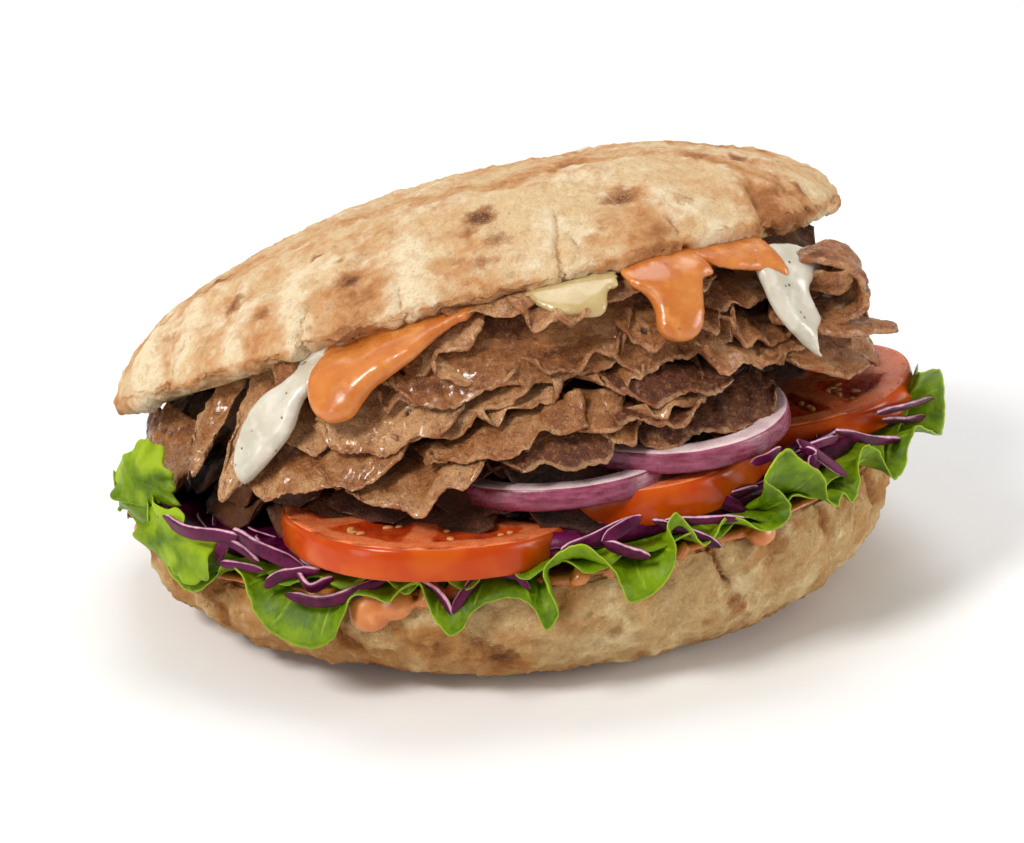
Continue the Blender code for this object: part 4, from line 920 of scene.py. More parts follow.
# how much lighter or darker than the rest a slice is: partly how it was cooked, partly painted light on the lit left
# end and painted shade on the slices in the dark gaps at the right
SLICE_TONE_LIGHT_AND_SHADE = {"01": 0.75, "02": 1.1, "04": 0.55, "05": 0.55, "06": 0.35, "07": 0.25, "08": 0.1, "09": 0.1, "11": -0.2, "12": 0.0,
        "14": 0.0, "18": 0.3, "19": 0.2, "20": 0.35, "22": -0.25, "24": -0.75}
SIDE_AZIMUTHS = (344.0, 6.0, 29.0, 52.0, 173.0, 194.0)
SLICE_T = 2.8


def round_steps(count):
    """Azimuths round the loaf, closer together on the open side."""
    a = np.linspace(0.0, 2.0 * PI, 4001)
    dense = 1.0 + 1.5 * np.exp(-((np.degrees(a) - 268.0) / 62.0) ** 4)
    total = np.concatenate([[0.0], np.cumsum(0.5 * (dense[1:] + dense[:-1]))])
    return np.interp(np.linspace(0.0, total[-1], count, endpoint=False), total, a)


def border_steps(count, half, rounding):
    """Parameters from -1 to 1 that crowd at both ends, where a sheet of the
    given half width rounds off."""
    near = np.array([0.0, 0.06, 0.25, 0.6, 1.0]) * rounding / half
    inner = np.linspace(-1.0 + near[-1], 1.0 - near[-1], count)
    return np.concatenate([-1.0 + near[:-1], inner, 1.0 - near[:-1][::-1]])


def slice_piece(shape, spec, step=0.59, thick=2.1, push=0.0, rough=1.0, seed=0, hue=0.0):
    """A ragged thin slice that leans out like a roof tile: its lower edge is
    free and its upper edge goes in under the slice above."""
    name, az, z0, width, face, slope, lean, taper, wave = spec
    face = face + 3.0
    rounding = 0.55
    cols = border_steps(max(8, int(width / step)), 0.5 * width, rounding)
    rows = border_steps(max(6, int(face / step)), 0.5 * face, rounding)
    u, wv = np.meshgrid(cols, rows)
    w = 0.5 * (wv + 1.0)
    key = np.stack([u * 0.5 * width + 31.7 * seed, w * face, np.full_like(u, 7.3 * seed + az)], -1)
    narrow = 1.0 - taper * (1.0 - w) ** 1.5 * (0.55 + 0.45 * np.abs(u))
    ragged = 0.9 * np.sin(5.0 * u + az) + 0.6 * np.sin(9.0 * u + 2.0 * az)
    s = u * 0.5 * width
    teeth = (1.5 * line_noise(s, 11.0, seed + 1) + 0.40 * line_noise(s, 3.6, seed + 2)
             + 0.35 * np.abs(line_noise(s, 1.6, seed + 3)) + 0.35 * line_noise(s, 0.8, seed + 13)) * rough
    t_ = w * face + 40.0 * np.sign(u)
    side_teeth = (1.4 * line_noise(t_, 5.0, seed + 4) + 0.7 * line_noise(t_, 1.8, seed + 5)
                  + 0.3 * line_noise(t_, 0.8, seed + 14)) * rough
    a = u * (0.5 * width * narrow) + side_teeth * np.abs(u) ** 6 * np.sign(u)
    corner = (np.abs(u) ** 5) * (1.0 - w) ** 2 * 0.28 * face
    b = w * face + (ragged + teeth) * (1.0 - w) ** 1.6 + taper * 2.5 * u * u * (1.0 - w) + corner
    ca, sa = math.cos(math.radians(slope)), math.sin(math.radians(slope))
    theta0 = math.radians(az)
    centre = heap_point(theta0, z0)
    radius = math.hypot(centre[0], centre[1])
    along, up = a * ca - b * sa, a * sa + b * ca
    theta = theta0 + along / radius
    z = z0 + up
    ax, out, rise = heap_axes(theta, z)
    outer, inner = 1.25 * lean + 1.0, -3.0
    off = inner + (outer - inner) * (1.0 - w) ** 0.85 + push
    off = off + wave * np.sin(2.6 * u + 0.7 * az) * (1.0 - 0.4 * w)
    off = off + 1.3 * fbm(key, 13.0, 2, seed + 6) * (0.35 + 0.65 * (1.0 - w))
    off = off + 0.9 * line_noise(s, 12.0, seed + 15) * (1.0 - w) ** 3
    p = heap_point(theta, z) + out * off[..., None]
    n = normals(p)
    n *= np.sign((n * out).sum(-1, keepdims=True) + 1e-9)
    # distance to the border, for the rounded rim
    da = (1.0 - np.abs(u)) * 0.5 * width
    db = (1.0 - np.abs(wv)) * 0.5 * face
    d = np.minimum(da, db)
    rim = np.sqrt(np.maximum(0.0, 1.0 - (1.0 - np.minimum(1.0, d / rounding)) ** 2))
    t = 0.5 * thick * (1.0 + 0.25 * fbm(key, 7.0, 2, seed + 7)) * (0.34 + 0.66 * smooth(0.0, 5.0, d))
    lump = 0.50 * fbm(key, 4.6, 2, seed + 8) + 0.30 * noise(key, 2.1, seed + 9)
    grit = 0.30 * noise(key, 1.25, seed + 10)
    hole, who = cells(key * np.array([1.0, 1.0, 0.0]) + np.array([0.0, 0.0, 0.5]), 5.2, seed + 11)
    pit = smooth(0.22, 0.08, hole) * (who > 0.62) * smooth(1.0, 2.4, d)
    relief = (lump + grit) * rough
    above = np.maximum(0.0, (t + relief - 0.95 * pit) * rim)
    below = np.maximum(0.0, (t + 0.6 * np.roll(relief, 7, 1)) * rim)
    # the edge mask, strongest at the free lower edge, lightens the rim: partly crisp cooking, partly painted light
    edge = smooth(1.8, 0.2, d) * (0.35 + 0.65 * (1.0 - w))
    own = 2.0 * float(hashed(np.array(seed), np.array(3), np.array(5), 11)) - 1.0
    # the tone darkens towards the upper edge that goes in under the slice above: painted shade
    tone = hue + 0.25 * own + 0.5 * fbm(key, 10.0, 2, seed + 12) + 0.35 * lump - 0.55 * smooth(0.45, 1.0, w)
    shape.pillow(p, n, above, below, edge=edge, tone=tone, pit=pit)


def curl_piece(shape, az, z0, off, radius, length, start, stop, lean, thick=2.4, step=0.6, seed=0, spiral=0.18,
               flare=0.0):
    theta0 = math.radians(az)
    ax, out, up = heap_axes(np.array(theta0), np.array(z0))
    centre = heap_point(np.array(theta0), np.array(z0)) + out * off
    axis = ax * math.cos(math.radians(lean)) + up * math.sin(math.radians(lean))
    side = unit(np.cross(out, axis))
    wrap = abs(math.radians(stop - start)) * radius
    cols = border_steps(max(10, int(wrap / step)), 0.5 * wrap, 1.1)
    rows = border_steps(max(6, int(length / step)), 0.5 * length, 1.1)
    cu, rv = np.meshgrid(cols, rows)
    u = 0.5 * (cu + 1.0)
    key = np.stack([cu * 0.5 * wrap + 17.0 * seed, rv * 0.5 * length, np.full_like(u, 3.1 * seed)], -1)
    ang = math.radians(start) + math.radians(stop - start) * u
    r = radius * (1.0 + spiral * (u - 0.5)) * (1.0 + flare * rv) + 0.7 * fbm(key, 8.0, 2, seed)
    teeth = 1.2 * line_noise(cu * 0.5 * wrap, 5.0, seed + 1) + 0.7 * line_noise(cu * 0.5 * wrap, 1.8, seed + 2)
    al = 0.5 * length * rv + teeth * np.abs(rv) ** 4
    p = (centre + axis * al[..., None]
         + (out * np.cos(ang)[..., None] + side * np.sin(ang)[..., None]) * r[..., None])
    n = normals(p)
    radial = out * np.cos(ang)[..., None] + side * np.sin(ang)[..., None]
    n *= np.sign((n * radial).sum(-1, keepdims=True) + 1e-9)
    d = np.minimum((1.0 - np.abs(cu)) * 0.5 * wrap, (1.0 - np.abs(rv)) * 0.5 * length)
    rim = np.sqrt(np.maximum(0.0, 1.0 - (1.0 - np.minimum(1.0, d / 1.1)) ** 2))
    relief = 0.30 * fbm(key, 4.0, 2, seed + 8) + 0.22 * noise(key, 1.8, seed + 9) + 0.12 * noise(key, 0.9, seed + 10)
    t = 0.5 * thick
    shape.pillow(p, n, (t + relief) * rim, (t + 0.5 * relief) * rim,
                 edge=smooth(2.2, 0.3, d), tone=0.5 * fbm(key, 10.0, 2, seed + 12), pit=0.0)


def ribbon(shape, path, widths, wide_dir, thick=2.0, step=0.6, seed=0, twist=(0.0, 0.0)):
    """A ragged strip along a path: half widths along it, the direction of its
    width, and how far that turns from end to end."""
    ctrl = np.asarray(path, float)
    length = np.linalg.norm(np.diff(ctrl, axis=0), axis=1).sum()
    cols = border_steps(max(10, int(length / step)), 0.5 * length, 0.8)
    k = 0.5 * (cols + 1.0)
    fine = spline(ctrl, 400)
    kk = np.linspace(0.0, 1.0, 400)
    c = np.stack([np.interp(k, kk, fine[:, i]) for i in range(3)], -1)
    half = np.interp(k, np.linspace(0.0, 1.0, len(widths)), widths)
    t = unit(np.gradient(c, axis=0))
    wd = unit(np.asarray(wide_dir, float))
    wd = unit(wd - t * (t @ wd)[:, None])
    nn = np.cross(t, wd)
    turn_by = np.radians(np.interp(k, (0.0, 1.0), twist))
    wd2 = wd * np.cos(turn_by)[:, None] + nn * np.sin(turn_by)[:, None]
    rows = border_steps(max(6, int(2.0 * max(widths) / step)), max(widths), 0.8)
    u, v = np.meshgrid(cols, rows)
    s_ = u * 0.5 * length
    teeth = 1.0 * line_noise(s_ + 50.0 * np.sign(v), 5.0, seed) + 0.6 * line_noise(s_ + 50.0 * np.sign(v), 2.0, seed + 1)
    teeth = teeth + 0.3 * line_noise(s_ + 50.0 * np.sign(v), 0.9, seed + 2)
    across = v * half[None] + teeth * np.abs(v) ** 3 * np.sign(v) * np.minimum(1.0, half[None] / 3.0)
    end = 1.1 * line_noise(v * max(widths), 3.0, seed + 3) * np.sign(u) * np.abs(u) ** 12
    p = c[None] + wd2[None] * across[..., None] + t[None] * end[..., None]
    key = np.stack([s_ + 13.0 * seed, across, np.full_like(s_, 2.7 * seed)], -1)
    n = normals(p)
    p = p + n * (0.6 * fbm(key, 7.0, 2, seed + 4))[..., None]
    n = normals(p)
    d = np.minimum((1.0 - np.abs(u)) * 0.5 * length, (1.0 - np.abs(v)) * half[None])
    rim = np.sqrt(np.maximum(0.0, 1.0 - (1.0 - np.minimum(1.0, d / 0.8)) ** 2))
    relief = 0.34 * fbm(key, 4.2, 2, seed + 8) + 0.24 * noise(key, 2.0, seed + 9) + 0.24 * noise(key, 1.2, seed + 10)
    tt = 0.5 * thick * (0.6 + 0.4 * smooth(0.0, 3.0, d))
    shape.pillow(p, n, np.maximum(0.0, (tt + relief) * rim), np.maximum(0.0, (tt + 0.6 * np.roll(relief, 5, 1)) * rim),
                 edge=smooth(1.8, 0.2, d), tone=0.5 * fbm(key, 10.0, 2, seed + 12) + 0.3 * relief, pit=0.0)


def meat():
    for i, spec in enumerate(SLICES):
        s = Shape()
        if spec[0] == "doner_slice_15":
            # a thin tapering piece that points away to the right
            ribbon(s, ((52.0, -47.0, 73.5), (59.0, -48.0, 72.6), (66.0, -47.5, 69.8), (74.0, -45.5, 68.6), (81.6, -43.5, 66.9)),
                   (5.0, 6.5, 5.5, 4.0, 2.0), (0.12, 0.96, 0.10), 2.6, seed=520)
            ribbon(s, ((54.0, -49.0, 66.0), (61.0, -49.5, 64.2), (67.0, -47.5, 61.6), (74.0, -44.0, 60.2)),
                   (4.0, 6.0, 6.0, 3.0), (0.10, 0.92, 0.30), 2.2, seed=527)
        else:
            slice_piece(s, spec, seed=100 + 13 * i, hue=SLICE_TONE_LIGHT_AND_SHADE.get(spec[0][-2:], 0.0))
        s.build("slice_" + spec[0][-2:], MEAT, "doner_meat", spec[0])
    s = Shape()
    for i, spec in enumerate(SCRAPS):
        # the scraps below 56 mm are darker: painted shade in the gaps low on the stack
        slice_piece(s, spec, seed=400 + 13 * i, hue=-0.55 if spec[2] < 56.0 else -0.1)
    rng = np.random.default_rng(23)
    for i, (az, z) in enumerate(LAYERS):           # thin edges that look out between the slices
        slice_piece(s, ("layer", az, z, rng.uniform(17.0, 28.0), rng.uniform(4.5, 7.0), rng.uniform(-4.0, 20.0),
                        rng.uniform(4.4, 6.2), rng.uniform(0.2, 0.6), 0.8),
                    thick=1.7, step=0.75, rough=0.8, seed=2000 + 17 * i, hue=rng.uniform(-0.1, 0.5))
    s.build("meat_scraps", MEAT, "doner_meat")
    s = Shape()
    fold = [(x, -44.0 + 0.16 * (x - 60.0), z) for x, z in
            ((53.0, 83.0), (58.0, 84.4), (63.0, 85.0), (67.5, 84.4), (71.4, 82.4), (73.6, 79.4), (73.8, 76.2), (71.6, 73.6),
             (67.5, 72.2), (63.0, 72.2), (58.0, 73.6))]
    ribbon(s, fold, (1.5, 2.4, 4.6, 7.0, 8.0, 8.2, 7.6, 5.6, 2.6), (0.10, 0.93, 0.16), 2.3, seed=500)
    ribbon(s, ((60.5, -44.0, 79.0), (64.0, -46.5, 79.8), (67.5, -48.0, 80.0), (70.6, -47.6, 80.2)), (1.6, 2.6, 2.8, 2.0),
           (0.05, -0.25, 1.0), 1.7, seed=505)
    ribbon(s, ((54.0, -40.0, 77.0), (60.0, -38.5, 78.4), (66.0, -37.5, 78.4), (71.5, -37.0, 77.6)), (3.0, 5.0, 5.4, 3.4),
           (0.05, 0.10, 1.0), 2.0, seed=511)
    s.build("slice_16", MEAT, "doner_meat", "doner_slice_16")
    s = Shape()
    th = np.array(math.radians(275.6))
    ax, out, up = heap_axes(th, np.array(60.6))
    c = heap_point(th, np.array(60.6))
    fold = [tuple(c + ax * a + out * o + up * r) for a, o, r in
            ((-9.5, 1.5, 1.0), (-7.2, 4.6, 0.0), (-4.4, 6.6, -1.4), (-1.8, 6.6, -1.0), (-0.4, 4.2, 0.2), (0.8, 3.4, 0.6),
             (2.2, 5.2, -0.6), (4.6, 6.2, -1.8), (7.2, 4.4, -0.8), (9.4, 1.0, 1.0))]
    ribbon(s, fold, (1.6, 3.6, 5.0, 4.6, 4.4, 4.6, 5.6, 5.0, 3.6, 1.6), tuple(up * 0.86 + ax * 0.34 - out * 0.42), 1.8, seed=510)
    s.build("slice_21", MEAT, "doner_meat", "doner_slice_21")
    rng = np.random.default_rng(41)
    for i, az in enumerate(SIDE_AZIMUTHS):
        th = math.radians(az)
        foot = float(cabbage_high(*outline(th, HEAP_LOW_RHO)))
        room = float(top_rim_at(th, HEAP_HIGH_RHO)[2]) - foot
        face = max(5.0, min(15.0, 0.55 * room))
        z0 = foot + 0.22 * (room - face) + 1.6
        node = "doner_slice_%02d" % (26 + i)
        s = Shape()
        slice_piece(s, (node, az, z0, 29.0, face, float(rng.uniform(-5, 5)), 3.8, 0.25, 0.7), seed=600 + 11 * i)
        s.build("slice_%02d" % (26 + i), MEAT, "doner_meat", node)
    # slices that lie deeper in the stack, all round, in the darker meat that is painted shade for the gaps between
    # slices
    s = Shape()
    az = 0.0
    i = 0
    while az < 360.0:
        th = math.radians(az)
        foot = float(cabbage_high(*outline(th, HEAP_LOW_RHO)))
        head = float(top_rim_at(th, HEAP_HIGH_RHO)[2])
        room = head - foot
        layers = max(1, int(room / 6.0))
        side_open = 288.0 < az < 352.0
        if side_open:
            foot += 0.32 * room
            room *= 0.68
        for k in range(layers):
            face = min(8.0, max(4.0, 0.6 * room))
            z0 = foot + 0.3 + (room - face * 0.75) * (k + 0.25 * rng.random()) / max(1, layers)
            width = rng.uniform(20.0, 36.0)
            slope = rng.uniform(-14.0, 18.0) if room > 16.0 else rng.uniform(-4.0, 4.0)
            slice_piece(s, ("deep", az + rng.uniform(-5.0, 5.0), z0, width, face, slope, rng.uniform(2.6, 4.8),
                            0.25, 0.7), step=3.2, thick=2.0, push=-6.0 - 2.5 * smooth(16.0, 8.0, abs(az - 210.0)),
                        seed=700 + 7 * i, hue=1.3 * smooth(26.0, 12.0, abs(az - 220.0)))
            i += 1
        az += 15.0
    s.build("meat_deep_slices", MEAT_PAINTED_SHADE, "doner_meat")
    core()


def core():
    """The stack's inside, a lumpy body that only shows between slices, in the darker meat that is painted shade there.
    """
    cols = 200
    theta = np.linspace(0.0, 2.0 * PI, cols, endpoint=False)
    rings = []
    for rho, k in ((0.05, None), (0.3, None), (0.55, None), (0.75, None)):
        rings.append(top_rim_at(theta, rho, -0.8))
    for k in np.linspace(1.0, 0.0, 18):
        open_side = np.exp(-(wrap_deg(np.degrees(theta) - 322.0) / 30.0) ** 2)
        x0, y0 = outline(theta, 0.80 - 0.16 * open_side)
        p0 = np.stack([x0, y0, cabbage_high(x0, y0) + 0.4], -1)
        p1 = top_rim_at(theta, 0.80, -1.0)
        p = p0 + (p1 - p0) * k
        n = unit(p * np.array([1.0, 1.0, 0.0]))
        bulge = 1.6 * fbm(p, 9.0, 3, 81) + 0.5 * noise(p, 3.0, 82)
        rings.append(p + n * bulge[..., None])
    for rho in (0.75, 0.5, 0.25, 0.05):
        x, y = outline(theta, rho)
        rings.append(np.stack([x, y, cabbage_high(x, y) + 0.4], -1))
    s = Shape()
    p = np.stack(rings)
    s.tube(p, edge=0.0, tone=fbm(p, 8.0, 2, 83), pit=0.0)
    return s.build("meat_core", MEAT_PAINTED_SHADE, "doner_meat_heap", "doner_meat")


# ------------------------------------------------------------------ tomato
TOMATOES = ((-25.4, -57.0, 34.2, 5.5, -3.0, 32.6, 7.0, 20.0),
            (21.0, -46.0, 39.4, 4.0, 5.0, 30.8, 8.2, 50.0),
            (63.0, -15.0, 42.6, 1.0, 8.0, 30.5, 6.6, -8.0),
            (30.0, 47.0, 38.6, 1.0, 5.5, 31.0, 6.0, 10.0),
            (-46.0, 24.0, 30.6, 0.5, 4.5, 29.0, 5.0, 33.0))


def tilt(front, right):
    return turn("Y", -right) @ turn("X", -front)


def tomato(index, spec):
    x0, y0, z0, front, right, radius, thick, spin = spec
    h = 0.5 * thick
    cols = 150 if index < 4 else 100
    theta = np.linspace(0.0, 2.0 * PI, cols, endpoint=False)
    face = np.linspace(0.4, radius - 1.3, 25)
    bend = np.linspace(0.0, PI, 14)
    side_r = radius - 1.3 + 1.3 * np.sin(bend) ** 0.55
    side_z = h * np.cos(bend)
    r = np.concatenate([face, side_r, face[::-1][1:]])
    z = np.concatenate([np.full(len(face), h), side_z, np.full(len(face) - 1, -h)])
    sign = np.concatenate([np.ones(len(face)), np.zeros(len(bend)), -np.ones(len(face) - 1)])
    TH, R = np.meshgrid(theta, r)
    Z = np.broadcast_to(z[:, None], TH.shape).copy()
    S = np.broadcast_to(sign[:, None], TH.shape)
    wob = 1.0 + 0.012 * np.sin(5.0 * TH + x0) + 0.010 * np.sin(3.0 * TH)
    R2 = R * wob
    p = np.stack([R2 * np.cos(TH), R2 * np.sin(TH), Z], -1)
    q = p + np.array([x0 * 3.0, y0, 11.0 * index])
    # seed chambers between the walls that run in from the outer flesh
    lobes = 6
    a = (TH - math.radians(spin)) * lobes / (2.0 * PI) + 0.10 * fbm(q, 9.0, 2, 91)
    cell = np.abs((a % 1.0) - 0.5)                  # 0 in a chamber's middle
    arc = (0.5 - cell) * 2.0 * PI / lobes * R       # distance to the wall line
    wall = 2.3 + 0.6 * fbm(q, 6.0, 2, 92)
    room = np.minimum(arc - wall, np.minimum(R - 7.5, radius - 6.2 - R) + 1.2 * fbm(q, 7.0, 2, 93))
    gel = smooth(-0.3, 0.7, room) * (S != 0)
    Z2 = -S * (0.9 * gel * smooth(0.0, 3.0, room) - 0.25 * gel * noise(q, 2.6, 94))
    Z2 += S * (0.18 * fbm(q, 5.0, 3, 95) + 0.06 * noise(q, 1.1, 96)) * (1.0 - gel)
    p[..., 2] += Z2
    skin = smooth(radius - 1.5, radius - 0.5, R) * (S == 0)
    p[..., :2] *= (1.0 + 0.004 * fbm(q, 16.0, 2, 97) * skin)[..., None]
    pale = smooth(radius - 2.6, radius - 1.2, R) * 0.55 + 0.7 * smooth(1.5, 0.0, np.abs(room)) * (gel > 0.02) \
        + 0.5 * smooth(6.5, 3.0, R)
    T = tilt(front, right)
    c = np.array([x0, y0, z0])
    s = Shape()
    s.tube(p @ T.T + c, skin=skin, gel=gel, pale=pale, seed=0.0)
    rng = np.random.default_rng(200 + index)
    for k in range(lobes):
        mid = math.radians(spin) + (k + 0.5) * 2.0 * PI / lobes
        for j in range(7):
            for face_sign in (1.0, -1.0):
                rr = rng.uniform(10.5, radius - 8.0)
                aa = mid + rng.uniform(-1.0, 1.0) * max(0.04, (0.5 * 2.0 * PI / lobes - 3.6 / rr))
                v = np.linspace(0.16, PI - 0.16, 6)
                ww = np.linspace(0.0, 2.0 * PI, 8, endpoint=False)
                V, Wq = np.meshgrid(v, ww, indexing="ij")
                e = np.stack([1.35 * np.cos(V), 0.85 * np.sin(V) * np.cos(Wq) * (1.0 - 0.25 * np.cos(V)),
                              0.42 * np.sin(V) * np.sin(Wq)], -1)
                yaw = aa + rng.uniform(-0.7, 0.7)
                rot = turn("Z", math.degrees(yaw)) @ turn("Y", rng.uniform(-12, 12))
                e = e @ rot.T + np.array([rr * math.cos(aa), rr * math.sin(aa), face_sign * (h - 0.78)])
                s.tube(e @ T.T + c, skin=0.0, gel=0.6, pale=0.0, seed=0.7)
    return s.build("tomato_%d" % index, TOMATO, "tomato_flesh", "tomato_slice_%d" % index)


# ------------------------------------------------------------------ onion
ONIONS = ((28.6, -47.6, 52.2, 24.5, -92.0, 205.0, -4.0, 2.6),
          (3.6, -50.0, 44.2, 25.5, -92.0, 190.0, 3.0, 3.0),
          (58.0, 22.0, 48.5, 22.0, 20.0, 170.0, -4.0, 9.0),
          (14.0, 58.0, 42.6, 24.0, 84.0, 150.0, -7.0, 8.0))
ONION_W, ONION_H = 5.2, 5.0


def onion(index, spec):
    x0, y0, z0, radius, middle, sweep, front, right = spec
    steps, around = 130, 32
    t = np.linspace(0.0, 1.0, steps)
    c = np.linspace(0.0, 2.0 * PI, around, endpoint=False)
    T_, C = np.meshgrid(t, c, indexing="ij")
    a = np.radians(middle + sweep * (T_ - 0.5))
    # a rounded box section, flat on top where the knife went
    e = 0.38
    cx, cz = np.cos(C), np.sin(C)
    bx = np.sign(cx) * np.abs(cx) ** e
    bz = np.sign(cz) * np.abs(cz) ** e
    q = np.stack([radius * np.cos(a) + 9.0 * index, radius * np.sin(a), bz * 2.0], -1)
    w = 0.5 * ONION_W * (1.0 + 0.10 * fbm(q, 16.0, 2, 101))
    hh = 0.5 * ONION_H * (1.0 + 0.05 * fbm(q, 14.0, 2, 102))
    endk = np.minimum(1.0, np.minimum(T_, 1.0 - T_) * sweep * radius * PI / 180.0 / 1.2) ** 0.5
    across = w * bx * endk - 0.35 * bz              # outer side leans in at the top
    across += 0.10 * np.sin(bx * 7.0) * 0.0
    up = hh * bz * endk
    groove = 0.16 * (np.exp(-((bx - 0.15) / 0.10) ** 2) + np.exp(-((bx + 0.45) / 0.10) ** 2)) * (bz > 0.9)
    up = up - groove + 0.07 * fbm(q, 2.5, 2, 103)
    r = radius * (1.0 + 0.03 * np.sin(2.0 * a + x0)) + across
    p = np.stack([r * np.cos(a), r * np.sin(a), up], -1)
    outer = smooth(0.25, 0.9, bx)
    top = smooth(0.72, 0.98, bz) * smooth(1.03, 0.90, bx)
    band = smooth(0.1, -1.0, bz)
    s = Shape()
    s.tube(p @ tilt(front, right).T + np.array([x0, y0, z0]), outer=outer, top=top, band=band)
    return s.build("onion_%d" % index, ONION, "red_onion", "onion_ring_%d" % index)


# ------------------------------------------------------------------ red cabbage
# shreds that hang out over the leaves: three places each, as azimuth,
# distance outside the rim and height above it; then width and thickness
SHREDS = (
    ((210.4, 7.0, 15.2), (217.9, 7.4, 13.8), (225.5, 4.5, 13.9), 4.6, 1.5),
    ((223.8, 3.5, 15.0), (229.0, 5.0, 12.0), (235.0, 2.0, 7.0), 4.2, 1.8),
    ((220.4, 4.0, 6.4), (223.2, 4.5, 12.0), (228.0, 3.6, 8.2), 3.2, 1.5),
    ((220.6, 3.8, 6.2), (224.5, 4.2, 6.8), (228.5, 3.4, 6.2), 2.6, 1.5),
    ((229.2, 4.6, 2.8), (232.0, 3.8, 6.0), (237.0, 1.6, 6.9), 3.6, 1.7),
    ((233.5, 2.5, 7.5), (236.0, 3.6, 3.4), (238.8, 1.5, 5.4), 3.6, 1.6),
    ((232.9, 5.6, 2.3), (239.0, 5.0, 1.2), (246.8, 0.8, 5.0), 4.0, 1.9),
    ((249.8, 0.6, 5.4), (253.4, 3.2, 2.9), (255.5, 4.6, -2.4), 3.6, 1.6),
    ((255.3, 4.5, -2.2), (257.2, 3.2, 2.2), (259.0, 0.6, 4.6), 2.8, 1.6),
    ((262.8, 0.6, 6.9), (263.8, 2.6, 4.2), (265.4, 3.6, 0.9), 2.0, 1.4),
    ((260.5, 1.0, 5.6), (262.6, 2.2, 4.4), (264.5, 2.4, 3.4), 2.2, 1.4),
    ((269.6, 0.2, 7.4), (274.2, 2.0, 9.7), (280.6, 0.8, 11.8), 3.2, 1.6),
    ((280.2, 2.2, 12.2), (277.5, 3.0, 10.9), (274.6, 3.5, 9.0), 3.6, 1.6),
    ((274.7, 3.6, 9.2), (277.5, 4.0, 6.2), (280.8, 4.4, 3.8), 3.8, 1.6),
    ((282.0, 0.6, 10.2), (287.0, 2.6, 5.8), (290.6, 4.6, 1.6), 2.9, 1.5),
    ((283.4, 1.0, 9.5), (288.4, 2.4, 8.0), (294.2, 4.4, 6.4), 2.6, 1.5),
    ((297.2, 0.2, 16.0), (299.6, 1.2, 16.4), (302.4, 0.8, 17.4), 2.8, 1.5),
    ((305.6, 0.6, 17.4), (308.6, 2.8, 12.4), (313.2, 4.4, 5.4), 3.4, 1.6),
    ((306.6, 0.6, 14.4), (309.6, 2.2, 14.9), (313.8, 1.2, 13.4), 3.0, 1.5),
    ((305.8, 0.8, 15.6), (307.4, 2.6, 13.6), (306.4, 2.8, 11.4), 2.8, 1.5),
    ((313.8, 0.8, 15.2), (321.0, 3.2, 9.2), (329.4, 5.6, 4.8), 3.2, 1.6),
    ((325.4, 1.6, 12.9), (334.2, 4.2, 9.7), (344.9, 8.6, 5.8), 2.4, 1.4),
    ((327.6, 1.6, 10.0), (336.0, 4.0, 5.4), (345.1, 7.8, 0.9), 2.4, 1.4),
)


def strip(shape, pts, width, thick, tone, roll=0.0, step=0.55, upward=(0.0, 0.0, 1.0), seed=0, around=14):
    """A bent ribbon with cut, pale long edges."""
    ctrl = np.asarray(pts, float)
    length = np.linalg.norm(np.diff(ctrl, axis=0), axis=1).sum()
    n = max(14, int(length / step))
    c = spline(ctrl, n)
    tan = unit(np.gradient(c, axis=0))
    upv = np.asarray(upward, float)
    side = unit(np.cross(tan, upv))
    nrm = unit(np.cross(side, tan))
    rolls = roll + 0.5 * line_noise(np.arange(n) * length / n, 11.0, seed)
    wide = nrm * np.cos(rolls)[:, None] + side * np.sin(rolls)[:, None]
    flat = unit(np.cross(tan, wide))
    a = np.linspace(0.0, 2.0 * PI, around, endpoint=False)
    e = 0.42
    ca, sa = np.cos(a), np.sin(a)
    bx = np.sign(ca) * np.abs(ca) ** e
    bz = np.sign(sa) * np.abs(sa) ** e
    k = np.linspace(0.0, 1.0, n)
    end = np.minimum(1.0, np.minimum(k, 1.0 - k) * length / 0.9) ** 0.5
    wv = 0.5 * width * (1.0 + 0.16 * line_noise(k * length, 7.0, seed + 1)) * (0.16 + 0.84 * smooth(0.0, 0.30, np.minimum(k, 1.0 - k) + 0.03)) * end
    tv = 0.5 * thick * (1.0 + 0.15 * line_noise(k * length, 4.0, seed + 2)) * end
    p = (c[:, None] + wide[:, None] * (bx[None, :, None] * wv[:, None, None])
         + flat[:, None] * (bz[None, :, None] * tv[:, None, None]))
    rim = np.broadcast_to(smooth(0.90, 1.0, np.abs(bx)) * smooth(1.0, 0.55, np.abs(bz) * 0.9), p.shape[:2])
    shape.tube(p, rim=rim, tone=tone)


